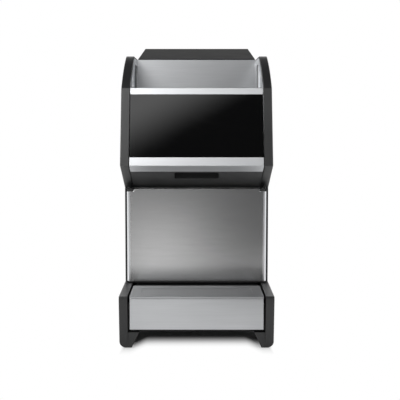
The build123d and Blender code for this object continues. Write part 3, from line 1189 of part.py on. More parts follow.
with BuildPart() as recess_wall:
    block((-WALL_HALF, WALL_HALF), (back(BAY_BACK), back(BAY_BACK) + STEEL), (ROOM_FLOOR, HOOD_SEAT))
    for level in (HOOD_SEAT - STEEL, ROOM_FLOOR):
        block((-WALL_HALF, WALL_HALF), (back(BAY_BACK), back(BAY_BACK + BAY_FOLD)), (level, level + STEEL))
    block((-WALL_HALF, WALL_HALF), (back(BAY_BACK - BAY_FOLD), back(BAY_BACK) + STEEL),
          (SHELF_UNDER - STEEL, SHELF_UNDER))
write(recess_wall, "recess_wall")


def bay_liner(x_low):
    """Side liner of the cup bay with its tall air slot."""
    front_depth = NOSE_TOP_DEPTH + LINER_FRONT_INSET
    bevel_slope = BEVEL_RISE / BEVEL_RUN
    side_profile(
        [
            face_point(SHELF_ABOVE_NOSE / cos(LEAN) + LINER_FRONT_RISE, LINER_FRONT_INSET),
            (back(front_depth), NOSE_TOP_HEIGHT + LINER_FRONT_INSET * bevel_slope - LINER_TOP_DROP),
            (back(BEVEL_DEPTH), PANEL_HEIGHT - LINER_TOP_DROP),
            (back(BAY_BACK) - SEAT_GAP, PANEL_HEIGHT - LINER_TOP_DROP),
            (back(BAY_BACK) - SEAT_GAP, SHELF_TOP + SEAT_GAP),
            (back(SHELF_FRONT + LINER_SHELF_OVERLAP), SHELF_TOP + SEAT_GAP),
        ],
        x_low, x_low + STEEL,
    )
    with BuildSketch(Plane.YZ.offset(x_low - 1)) as slot:
        with Locations((back((AIR_SLOT_FRONT + AIR_SLOT_BACK) / 2), (AIR_SLOT_LOW + AIR_SLOT_TOP) / 2)):
            RectangleRounded(AIR_SLOT_WIDTH, AIR_SLOT_TOP - AIR_SLOT_LOW, AIR_SLOT_CORNER)
    extrude(slot.sketch, amount=STEEL + 2, mode=Mode.SUBTRACT)


with BuildPart() as bay_liners:
    bay_liner(INNER - STEEL)
    bay_liner(-INNER)
write(bay_liners, "bay_liners")

# Rear hood: wedge-shaped cover over the machine room
with BuildPart() as rear_hood:
    hood_slope = HOOD_RISE / (DEPTH - BAY_BACK)
    wall_back = HOOD_BACK_WALL + HOOD_SHEET
    side_profile(
        [
            (back(BAY_BACK), HOOD_SEAT),
            (back(BAY_BACK), PANEL_HEIGHT),
            (back(DEPTH), HOOD_HEIGHT),
            (back(DEPTH), HOOD_HEIGHT - HOOD_LIP),
            (back(wall_back), HOOD_HEIGHT - HOOD_LIP - HOOD_LIP_RUN),
            (back(wall_back), HOOD_SEAT),
        ],
        -HOOD_HALF_WIDTH, HOOD_HALF_WIDTH,
    )
    fillet(rear_hood.edges().filter_by(Axis.X).sort_by(Axis.Z)[-1], radius=HOOD_ROUND)
    inner_front = BAY_BACK + HOOD_SHEET
    drop = HOOD_SHEET * hypot(1, hood_slope)
    side_profile(
        [
            (back(inner_front), HOOD_SEAT - 1),
            (back(inner_front), PANEL_HEIGHT + HOOD_SHEET * hood_slope - drop),
            (back(HOOD_BACK_WALL), PANEL_HEIGHT + (HOOD_BACK_WALL - BAY_BACK) * hood_slope - drop),
            (back(HOOD_BACK_WALL), HOOD_SEAT - 1),
        ],
        -HOOD_HALF_WIDTH + HOOD_SHEET, HOOD_HALF_WIDTH - HOOD_SHEET, Mode.SUBTRACT,
    )
    with BuildSketch(Plane.XZ.offset(-back(wall_back) - 1)) as vents:
        with Locations((0, HOOD_SEAT + HOOD_VENT_RISE)):
            with GridLocations(HOOD_VENT_PITCH_X, HOOD_VENT_PITCH_Z, HOOD_VENT_COLUMNS, HOOD_VENT_ROWS):
                SlotOverall(HOOD_VENT_LENGTH, HOOD_VENT_WIDTH)
    extrude(vents.sketch, amount=HOOD_SHEET + 2, mode=Mode.SUBTRACT)
write(rear_hood, "rear_hood")


def louvre_field(x, height):
    """Rows of vent slots through the rear panel."""
    with BuildSketch(Plane.XZ.offset(-back(REAR_FACE) - 1)) as slots:
        with Locations((x, height)):
            with GridLocations(1, LOUVRE_PITCH, 1, LOUVRE_ROWS):
                SlotOverall(LOUVRE_LENGTH, LOUVRE_WIDTH)
    extrude(slots.sketch, amount=STEEL + 2, mode=Mode.SUBTRACT)


FAN_HEIGHT = CONDENSER_LOW + CONDENSER_HEIGHT / 2
SCREW_X = INNER + REAR_REBATE / 2

with BuildPart() as rear_panel:
    panel_half = INNER + REAR_REBATE - SEAT_GAP
    block((-panel_half, panel_half), (back(REAR_PANEL_DEPTH), back(REAR_FACE)),
          (CHASSIS_FLOOR + SEAT_GAP, HOOD_SEAT))
    block((-HOOD_HALF_WIDTH, HOOD_HALF_WIDTH), (back(REAR_PANEL_DEPTH - BAY_FOLD), back(REAR_FACE)),
          (HOOD_SEAT - STEEL, HOOD_SEAT))
    louvre_field(CONDENSER_X, FAN_HEIGHT)
    louvre_field(COMPRESSOR_X, FAN_HEIGHT)
    for side in (-1, 1):
        for height in REAR_SCREW_HEIGHTS:
            rod(REAR_SCREW_RADIUS + RUNNING, (side * SCREW_X, back(REAR_FACE) + 1, height),
                (side * SCREW_X, back(REAR_PANEL_DEPTH) - 1, height), Mode.SUBTRACT)
    # Cut-outs for the inlet, the switch and the knob's shaft
    for x, width, height in ((INLET_X, INLET_WIDTH, INLET_HEIGHT), (SWITCH_X, SWITCH_WIDTH, SWITCH_HEIGHT)):
        block((x - width / 2 - SEAT_GAP, x + width / 2 + SEAT_GAP),
              (back(REAR_PANEL_DEPTH) - 1, back(REAR_FACE) + 1),
              (SERVICE_LEVEL - height / 2 - SEAT_GAP, SERVICE_LEVEL + height / 2 + SEAT_GAP), Mode.SUBTRACT)
    rod(KNOB_SHAFT_RADIUS + SEAT_GAP, (KNOB_X, back(REAR_PANEL_DEPTH) - 1, SERVICE_LEVEL),
        (KNOB_X, back(REAR_FACE) + 1, SERVICE_LEVEL), Mode.SUBTRACT)
write(rear_panel, "rear_panel")

with BuildPart() as rear_panel_screws:
    for side in (-1, 1):
        for height in REAR_SCREW_HEIGHTS:
            middle = side * SCREW_X
            head_back = back(REAR_FACE) + REAR_SCREW_HEAD_HEIGHT
            rod(REAR_SCREW_RADIUS, (middle, back(REAR_FACE - REAR_SCREW_LENGTH), height),
                (middle, back(REAR_FACE), height))
            rod(REAR_SCREW_HEAD, (middle, back(REAR_FACE), height), (middle, head_back, height))
            for reach_x, reach_z in ((REAR_SCREW_CROSS_HALF, REAR_SCREW_CROSS),
                                     (REAR_SCREW_CROSS, REAR_SCREW_CROSS_HALF)):
                block((middle - reach_x, middle + reach_x), (head_back - 1, head_back + 1),
                      (height - reach_z, height + reach_z), Mode.SUBTRACT)
write(rear_panel_screws, "rear_panel_screws")

# Machine room: floor, compressor on rubber mounts, condenser with its fan, and the pipes
with BuildPart() as machine_floor:
    floor_front = BAND_END[0] + BAND_REAR_FLANGE + FIT_GAP
    block((-INNER + SEAT_GAP, INNER - SEAT_GAP), (floor_front, back(CABINET_BACK)), (CABINET_TOP, ROOM_FLOOR))
write(machine_floor, "machine_floor")

COMPRESSOR_PLANE = Plane.XY.offset(ROOM_FLOOR + MOUNT_HEIGHT)
COMPRESSOR_BOTTOM = ROOM_FLOOR + MOUNT_HEIGHT + COMPRESSOR_FOOT
COMPRESSOR_TOP = COMPRESSOR_BOTTOM + COMPRESSOR_HEIGHT
STUB_TOP = COMPRESSOR_TOP + STUB_RISE
DISCHARGE_X = COMPRESSOR_X - STUB_OFFSET
RETURN_X = COMPRESSOR_X + STUB_OFFSET
TERMINAL_LOW = COMPRESSOR_BOTTOM + TERMINAL_RISE
TERMINAL_BACK = COMPRESSOR_DEPTH + COMPRESSOR_RADIUS - TERMINAL_OVERLAP + TERMINAL_OUT

with BuildPart() as compressor:
    with BuildSketch(Plane.XY.offset(COMPRESSOR_BOTTOM)) as can:
        with Locations((COMPRESSOR_X, back(COMPRESSOR_DEPTH))):
            Circle(COMPRESSOR_RADIUS)
    extrude(can.sketch, amount=COMPRESSOR_HEIGHT)
    fillet(compressor.faces().sort_by(Axis.Z)[-1].edges(), radius=COMPRESSOR_DOME)
    fillet(compressor.faces().sort_by(Axis.Z)[0].edges(), radius=COMPRESSOR_DOME / 2)
    with BuildSketch(COMPRESSOR_PLANE) as feet:
        with Locations((COMPRESSOR_X, back(COMPRESSOR_DEPTH))):
            RectangleRounded(COMPRESSOR_FOOT_PITCH_X + 2 * MOUNT_RADIUS,
                             COMPRESSOR_FOOT_PITCH_Y + 2 * MOUNT_RADIUS, MOUNT_RADIUS)
    extrude(feet.sketch, amount=COMPRESSOR_FOOT)
    block((COMPRESSOR_X - TERMINAL_WIDTH / 2, COMPRESSOR_X + TERMINAL_WIDTH / 2),
          (back(TERMINAL_BACK - TERMINAL_OUT - TERMINAL_IN), back(TERMINAL_BACK)),
          (TERMINAL_LOW, TERMINAL_LOW + TERMINAL_HEIGHT))
    for x in (DISCHARGE_X, RETURN_X):
        rod(PIPE_RADIUS, (x, back(COMPRESSOR_DEPTH), COMPRESSOR_TOP - STUB_ROOT),
            (x, back(COMPRESSOR_DEPTH), STUB_TOP))
write(compressor, "compressor")

with BuildPart() as compressor_mounts:
    with BuildSketch(Plane.XY.offset(ROOM_FLOOR)) as pads:
        with Locations((COMPRESSOR_X, back(COMPRESSOR_DEPTH))):
            with GridLocations(COMPRESSOR_FOOT_PITCH_X, COMPRESSOR_FOOT_PITCH_Y, 2, 2):
                Circle(MOUNT_RADIUS)
    extrude(pads.sketch, amount=MOUNT_HEIGHT)
write(compressor_mounts, "compressor_mounts")

CONDENSER_BACK = CONDENSER_FRONT + CONDENSER_THICKNESS
CONDENSER_TOP = CONDENSER_LOW + CONDENSER_HEIGHT
CONDENSER_MIDDLE = (CONDENSER_FRONT + CONDENSER_BACK) / 2
ROW_PITCH = CONDENSER_HEIGHT / CONDENSER_ROWS
ROW_LOW = CONDENSER_LOW + ROW_PITCH / 2
ROW_HIGH = ROW_LOW + (CONDENSER_ROWS - 1) * ROW_PITCH
TUBE_REACH = CONDENSER_HALF_WIDTH + CONDENSER_TUBE_OUT

with BuildPart() as condenser:
    count = int(2 * CONDENSER_HALF_WIDTH / FIN_PITCH) + 1
    with BuildSketch(Plane.XZ.offset(-back(CONDENSER_BACK))) as fins:
        with Locations((CONDENSER_X, FAN_HEIGHT)):
            with GridLocations(FIN_PITCH, 1, count, 1):
                Rectangle(FIN_SHEET, CONDENSER_HEIGHT)
    extrude(fins.sketch, amount=CONDENSER_THICKNESS)
    route = [(TUBE_END_X, back(CONDENSER_MIDDLE), ROW_HIGH)]
    side = 1
    for row in range(CONDENSER_ROWS - 1):
        for level in (ROW_HIGH - row * ROW_PITCH, ROW_HIGH - (row + 1) * ROW_PITCH):
            route.append((CONDENSER_X + side * TUBE_REACH, back(CONDENSER_MIDDLE), level))
        side = -side
    route.append((TUBE_END_X, back(CONDENSER_MIDDLE), ROW_LOW))
    pipe(CONDENSER_TUBE_RADIUS, route, PIPE_BEND)
    # Feet that carry the fins on the machine floor
    for x in (CONDENSER_X - CONDENSER_HALF_WIDTH, CONDENSER_X + CONDENSER_HALF_WIDTH):
        block((x - CONDENSER_FOOT_SHEET / 2, x + CONDENSER_FOOT_SHEET / 2),
              (back(CONDENSER_FRONT), back(CONDENSER_BACK)), (ROOM_FLOOR, CONDENSER_TOP))
write(condenser, "condenser")

SHROUD_FRONT = CONDENSER_BACK + SEAT_GAP
SHROUD_BACK = SHROUD_FRONT + SHROUD_LENGTH
SHROUD_RING = SHROUD_BACK - FAN_LENGTH - 2.0
SHROUD_HALF_WIDTH = FAN_RADIUS + FAN_TIP_GAP + SHROUD_WALL + 1.0

with BuildPart() as fan_shroud:
    block((CONDENSER_X - SHROUD_HALF_WIDTH, CONDENSER_X + SHROUD_HALF_WIDTH),
          (back(SHROUD_FRONT), back(SHROUD_BACK)), (CONDENSER_LOW, CONDENSER_TOP))
    block((CONDENSER_X - SHROUD_HALF_WIDTH + SHROUD_WALL, CONDENSER_X + SHROUD_HALF_WIDTH - SHROUD_WALL),
          (back(SHROUD_FRONT) - 1, back(SHROUD_RING)),
          (CONDENSER_LOW + SHROUD_WALL, CONDENSER_TOP - SHROUD_WALL), Mode.SUBTRACT)
    rod(FAN_RADIUS + FAN_TIP_GAP, (CONDENSER_X, back(SHROUD_FRONT), FAN_HEIGHT),
        (CONDENSER_X, back(SHROUD_BACK) + 1, FAN_HEIGHT), Mode.SUBTRACT)
write(fan_shroud, "fan_shroud")

MOTOR_FRONT = SHROUD_FRONT + MOTOR_SET
MOTOR_BACK = MOTOR_FRONT + MOTOR_LENGTH
ROTOR_FRONT = MOTOR_BACK + ROTOR_GAP
ROTOR_BACK = ROTOR_FRONT + FAN_LENGTH

with BuildPart() as fan_motor:
    rod(MOTOR_RADIUS, (CONDENSER_X, back(MOTOR_FRONT), FAN_HEIGHT),
        (CONDENSER_X, back(MOTOR_BACK), FAN_HEIGHT))
    rod(FAN_SHAFT_RADIUS, (CONDENSER_X, back(MOTOR_BACK) - 1, FAN_HEIGHT),
        (CONDENSER_X, back(ROTOR_BACK - FAN_SHAFT_END), FAN_HEIGHT))
    strut_front = back(MOTOR_FRONT) + MOTOR_STRUT_SET
    strut = (strut_front, strut_front + MOTOR_STRUT)
    reach = SHROUD_HALF_WIDTH - SHROUD_WALL
    block((CONDENSER_X - reach, CONDENSER_X + reach), strut,
          (FAN_HEIGHT - MOTOR_STRUT_HALF, FAN_HEIGHT + MOTOR_STRUT_HALF))
    block((CONDENSER_X - MOTOR_STRUT_HALF, CONDENSER_X + MOTOR_STRUT_HALF), strut,
          (CONDENSER_LOW + SHROUD_WALL, CONDENSER_TOP - SHROUD_WALL))
write(fan_motor, "fan_motor")

with BuildPart() as fan_rotor:
    rod(FAN_HUB_RADIUS, (CONDENSER_X, back(ROTOR_FRONT), FAN_HEIGHT),
        (CONDENSER_X, back(ROTOR_BACK), FAN_HEIGHT))
    fillet(fan_rotor.faces().sort_by(Axis.Y)[-1].edges(), radius=FAN_HUB_ROUND)
    rod(FAN_SHAFT_RADIUS + RUNNING, (CONDENSER_X, back(ROTOR_FRONT) - 1, FAN_HEIGHT),
        (CONDENSER_X, back(ROTOR_BACK - FAN_SHAFT_END) + SEAT_GAP, FAN_HEIGHT), Mode.SUBTRACT)
    blade_middle = back((ROTOR_FRONT + ROTOR_BACK) / 2)
    for blade in range(FAN_BLADES):
        turn = 2 * pi * blade / FAN_BLADES
        radial = (cos(turn), 0, sin(turn))
        start = FAN_HUB_RADIUS - FAN_BLADE_ROOT
        origin = (CONDENSER_X + start * radial[0], blade_middle, FAN_HEIGHT + start * radial[2])
        with BuildSketch(Plane(origin=origin, x_dir=(0, 1, 0), z_dir=radial)) as blade_root:
            Rectangle(FAN_BLADE_CHORD, FAN_BLADE_SHEET, rotation=FAN_BLADE_TWIST)
        extrude(blade_root.sketch, amount=FAN_RADIUS - start)
write(fan_rotor, "fan_rotor")

# Drier and pipes
DRIER_X = CONDENSER_X - DRIER_TO_CONDENSER_X
DRIER_DEPTH = CONDENSER_FRONT - DRIER_TO_CONDENSER
DRIER_LOW = ROOM_FLOOR + DRIER_RISE
LIQUID_GAP_X = TUBE_END_X - LIQUID_GAP
DISCHARGE_GAP_X = LIQUID_GAP_X - 2 * PIPE_RADIUS
DISCHARGE_LEVEL = max(CONDENSER_TOP, STUB_TOP) + DISCHARGE_RISE
SUCTION_LEVEL = DISCHARGE_LEVEL + SUCTION_ABOVE_DISCHARGE
CAPILLARY_LEVEL = SUCTION_LEVEL + CAPILLARY_ABOVE_SUCTION

COMPRESSOR_Y = back(COMPRESSOR_DEPTH)
CONDENSER_Y = back(CONDENSER_MIDDLE)

with BuildPart() as drier:
    rod(DRIER_RADIUS, (DRIER_X, back(DRIER_DEPTH), DRIER_LOW),
        (DRIER_X, back(DRIER_DEPTH), DRIER_LOW + DRIER_LENGTH))
    fillet(drier.edges().filter_by(GeomType.CIRCLE), radius=DRIER_ROUND)
write(drier, "drier")

with BuildPart() as discharge_pipe:
    pipe(PIPE_RADIUS, [
        (DISCHARGE_X, COMPRESSOR_Y, STUB_TOP + SEAT_GAP),
        (DISCHARGE_X, COMPRESSOR_Y, DISCHARGE_LEVEL),
        (DISCHARGE_X, CONDENSER_Y, DISCHARGE_LEVEL),
        (DISCHARGE_GAP_X, CONDENSER_Y, DISCHARGE_LEVEL),
        (DISCHARGE_GAP_X, CONDENSER_Y, ROW_HIGH),
        (TUBE_END_X - SEAT_GAP, CONDENSER_Y, ROW_HIGH),
    ], PIPE_BEND)
write(discharge_pipe, "discharge_pipe")

with BuildPart() as liquid_pipe:
    pipe(PIPE_RADIUS, [
        (TUBE_END_X - SEAT_GAP, CONDENSER_Y, ROW_LOW),
        (LIQUID_GAP_X, CONDENSER_Y, ROW_LOW),
        (LIQUID_GAP_X, back(DRIER_DEPTH), ROW_LOW),
        (DRIER_X, back(DRIER_DEPTH), ROW_LOW),
        (DRIER_X, back(DRIER_DEPTH), DRIER_LOW - SEAT_GAP),
    ], LIQUID_BEND)
write(liquid_pipe, "liquid_pipe")

with BuildPart() as capillary_pipe:
    pipe(CAPILLARY_RADIUS, [
        (DRIER_X, back(DRIER_DEPTH), DRIER_LOW + DRIER_LENGTH + SEAT_GAP),
        (DRIER_X, back(DRIER_DEPTH), CAPILLARY_LEVEL),
        (LIQUID_DUCT_X, back(DRIER_DEPTH), CAPILLARY_LEVEL),
        (LIQUID_DUCT_X, back(DUCT_DEPTH), CAPILLARY_LEVEL),
        (LIQUID_DUCT_X, back(DUCT_DEPTH), PIPE_EXIT_HEIGHT),
        (LIQUID_X, back(DUCT_DEPTH), PIPE_EXIT_HEIGHT),
        (LIQUID_X, EVAPORATOR_TUBE_Y, PIPE_EXIT_HEIGHT),
    ], CAPILLARY_BEND)
write(capillary_pipe, "capillary_pipe")

with BuildPart() as suction_pipe:
    rise = PIPE_EXIT_HEIGHT + SUCTION_RISE
    pipe(PIPE_RADIUS, [
        (SUCTION_X, EVAPORATOR_TUBE_Y, PIPE_EXIT_HEIGHT),
        (SUCTION_X, back(DUCT_DEPTH), PIPE_EXIT_HEIGHT),
        (SUCTION_X, back(DUCT_DEPTH), rise),
        (SUCTION_DUCT_X, back(DUCT_DEPTH), rise),
        (SUCTION_DUCT_X, back(DUCT_DEPTH), SUCTION_LEVEL),
        (SUCTION_DUCT_X, COMPRESSOR_Y, SUCTION_LEVEL),
        (RETURN_X, COMPRESSOR_Y, SUCTION_LEVEL),
        (RETURN_X, COMPRESSOR_Y, STUB_TOP + SEAT_GAP),
    ], PIPE_BEND / 2)
write(suction_pipe, "suction_pipe")

# Electrical parts: box in the base with the board, inlet, rocker switch and thermostat
BOX_BOTTOM = CHASSIS_FLOOR + CHASSIS_SHEET
BOX_BACK = REAR_PANEL_DEPTH - SEAT_GAP

with BuildPart() as control_box:
    block((BOX_LEFT, BOX_RIGHT), (back(BOX_FRONT), back(BOX_BACK)), (BOX_BOTTOM, BOX_TOP))
    block((BOX_LEFT + BOX_WALL, BOX_RIGHT - BOX_WALL), (back(BOX_FRONT) + BOX_WALL, back(BOX_BACK) + 1),
          (BOX_BOTTOM + BOX_WALL, BOX_TOP - BOX_WALL), Mode.SUBTRACT)
    # Post that carries the thermostat behind the knob
    block((KNOB_X - THERMOSTAT_HALF, KNOB_X + THERMOSTAT_HALF),
          (back(BOX_BACK) - THERMOSTAT_DEEP, back(BOX_BACK)),
          (BOX_BOTTOM + BOX_WALL, SERVICE_LEVEL + THERMOSTAT_HALF))
    rod(KNOB_SHAFT_RADIUS + RUNNING, (KNOB_X, back(BOX_BACK) - KNOB_SHAFT_DEEP, SERVICE_LEVEL),
        (KNOB_X, back(BOX_BACK) + 1, SERVICE_LEVEL), Mode.SUBTRACT)
write(control_box, "control_box")


def service_frame(x, width, height, depth, wall, floor):
    """A flanged housing set in the rear panel, open to the back."""
    face = back(REAR_FACE)
    half_x = width / 2
    half_z = height / 2
    block((x - half_x, x + half_x), (face - depth, face), (SERVICE_LEVEL - half_z, SERVICE_LEVEL + half_z))
    block((x - half_x - FRAME_FLANGE, x + half_x + FRAME_FLANGE), (face, face + FRAME_PROUD),
          (SERVICE_LEVEL - half_z - FRAME_FLANGE, SERVICE_LEVEL + half_z + FRAME_FLANGE))
    block((x - half_x + wall, x + half_x - wall), (face - depth + floor, face + 2 * FRAME_PROUD),
          (SERVICE_LEVEL - half_z + wall, SERVICE_LEVEL + half_z - wall), Mode.SUBTRACT)


with BuildPart() as mains_inlet:
    service_frame(INLET_X, INLET_WIDTH, INLET_HEIGHT, INLET_DEPTH, INLET_WALL, INLET_FLOOR)
write(mains_inlet, "mains_inlet")

with BuildPart() as inlet_pins:
    pin_root = back(REAR_FACE) - INLET_DEPTH + INLET_FLOOR
    pin_width, pin_height = INLET_PIN_SIZE
    for step, rise in ((-1, -INLET_PIN_DROP), (0, INLET_PIN_RISE), (1, -INLET_PIN_DROP)):
        middle = INLET_X + step * INLET_PIN_PITCH
        block((middle - pin_width / 2, middle + pin_width / 2), (pin_root, pin_root + INLET_PIN_LENGTH),
              (SERVICE_LEVEL + rise - pin_height / 2, SERVICE_LEVEL + rise + pin_height / 2))
write(inlet_pins, "inlet_pins")

ROCKER_HALF = SWITCH_HEIGHT / 2 - SWITCH_WALL - ROCKER_END_GAP
ROCKER_PIVOT = REAR_FACE - 1.0
PIVOT_REACH = SWITCH_WIDTH / 2 - ROCKER_PIN_END
PIVOT_BORE_REACH = PIVOT_REACH + SEAT_GAP

with BuildPart() as switch_housing:
    service_frame(SWITCH_X, SWITCH_WIDTH, SWITCH_HEIGHT, SWITCH_DEPTH, SWITCH_WALL, SWITCH_FLOOR)
    rod(ROCKER_PIN_RADIUS + RUNNING, (SWITCH_X - PIVOT_BORE_REACH, back(ROCKER_PIVOT), SERVICE_LEVEL),
        (SWITCH_X + PIVOT_BORE_REACH, back(ROCKER_PIVOT), SERVICE_LEVEL), Mode.SUBTRACT)
write(switch_housing, "switch_housing")

with BuildPart() as power_rocker:
    tilt = ROCKER_TILT * pi / 180
    half_x = SWITCH_WIDTH / 2 - SWITCH_WALL - SEAT_GAP
    outline = (
        (-ROCKER_HALF, ROCKER_OUT),
        (0, ROCKER_DISH),
        (ROCKER_HALF, ROCKER_OUT),
        (ROCKER_HALF - 1, -ROCKER_IN),
        (1 - ROCKER_HALF, -ROCKER_IN),
    )
    corners = []
    for up, out in outline:
        corners.append((back(ROCKER_PIVOT) + out * cos(tilt) - up * sin(tilt),
                        SERVICE_LEVEL + out * sin(tilt) + up * cos(tilt)))
    side_profile(corners, SWITCH_X - half_x, SWITCH_X + half_x)
    rod(ROCKER_PIN_RADIUS, (SWITCH_X - PIVOT_REACH, back(ROCKER_PIVOT), SERVICE_LEVEL),
        (SWITCH_X + PIVOT_REACH, back(ROCKER_PIVOT), SERVICE_LEVEL))
write(power_rocker, "power_rocker")

with BuildPart() as thermostat_knob:
    knob_face = back(REAR_FACE) + SEAT_GAP + KNOB_HEIGHT
    rod(KNOB_RADIUS, (KNOB_X, back(REAR_FACE) + SEAT_GAP, SERVICE_LEVEL), (KNOB_X, knob_face, SERVICE_LEVEL))
    fillet(thermostat_knob.faces().sort_by(Axis.Y)[-1].edges(), radius=KNOB_ROUND)
    # Groove that shows the setting
    block((KNOB_X - KNOB_MARK / 2, KNOB_X + KNOB_MARK / 2), (knob_face - 1, knob_face + 1),
          (SERVICE_LEVEL + KNOB_MARK, SERVICE_LEVEL + KNOB_RADIUS + 1), Mode.SUBTRACT)
    rod(KNOB_SHAFT_RADIUS, (KNOB_X, back(BOX_BACK) - KNOB_SHAFT_DEEP + SEAT_GAP, SERVICE_LEVEL),
        (KNOB_X, back(REAR_FACE) + 2, SERVICE_LEVEL))
write(thermostat_knob, "thermostat_knob")

with BuildPart() as mains_harness:
    pipe(HARNESS_RADIUS, [
        (COMPRESSOR_X, back(DUCT_DEPTH), BOX_TOP + SEAT_GAP),
        (COMPRESSOR_X, back(DUCT_DEPTH), TERMINAL_LOW + TERMINAL_HEIGHT / 2),
        (COMPRESSOR_X, back(TERMINAL_BACK) + SEAT_GAP, TERMINAL_LOW + TERMINAL_HEIGHT / 2),
    ], HARNESS_BEND)
write(mains_harness, "mains_harness")
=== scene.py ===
import json
from math import cos, pi, radians, sin

import bmesh
import bpy
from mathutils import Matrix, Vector


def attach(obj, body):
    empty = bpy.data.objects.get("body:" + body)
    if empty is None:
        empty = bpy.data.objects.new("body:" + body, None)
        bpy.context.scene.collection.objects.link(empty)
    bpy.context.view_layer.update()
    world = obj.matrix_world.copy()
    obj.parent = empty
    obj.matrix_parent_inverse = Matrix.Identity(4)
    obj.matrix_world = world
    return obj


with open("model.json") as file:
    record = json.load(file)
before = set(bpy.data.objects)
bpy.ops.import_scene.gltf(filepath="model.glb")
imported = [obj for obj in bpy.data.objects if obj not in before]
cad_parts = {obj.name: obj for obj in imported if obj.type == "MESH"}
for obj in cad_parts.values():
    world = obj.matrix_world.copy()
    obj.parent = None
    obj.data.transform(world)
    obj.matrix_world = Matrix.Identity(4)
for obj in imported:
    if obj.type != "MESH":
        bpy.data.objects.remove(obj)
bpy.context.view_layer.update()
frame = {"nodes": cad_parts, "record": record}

NODES = frame["nodes"]

# Camera, from the outlines of the two side panels
CAMERA_PLACE = (0.0, -1.742, 0.536)
CAMERA_PITCH = 3.5
CAMERA_LENS = 58.6
CAMERA_SHIFT = (0.0085, -0.1055)


def make_camera():
    data = bpy.data.cameras.new("camera")
    data.lens = CAMERA_LENS
    data.sensor_width = 36.0
    data.shift_x, data.shift_y = CAMERA_SHIFT
    data.clip_start, data.clip_end = 0.05, 50.0
    camera = bpy.data.objects.new("camera", data)
    camera.location = CAMERA_PLACE
    camera.rotation_euler = (radians(90.0 - CAMERA_PITCH), 0.0, 0.0)
    bpy.context.scene.collection.objects.link(camera)
    bpy.context.scene.camera = camera


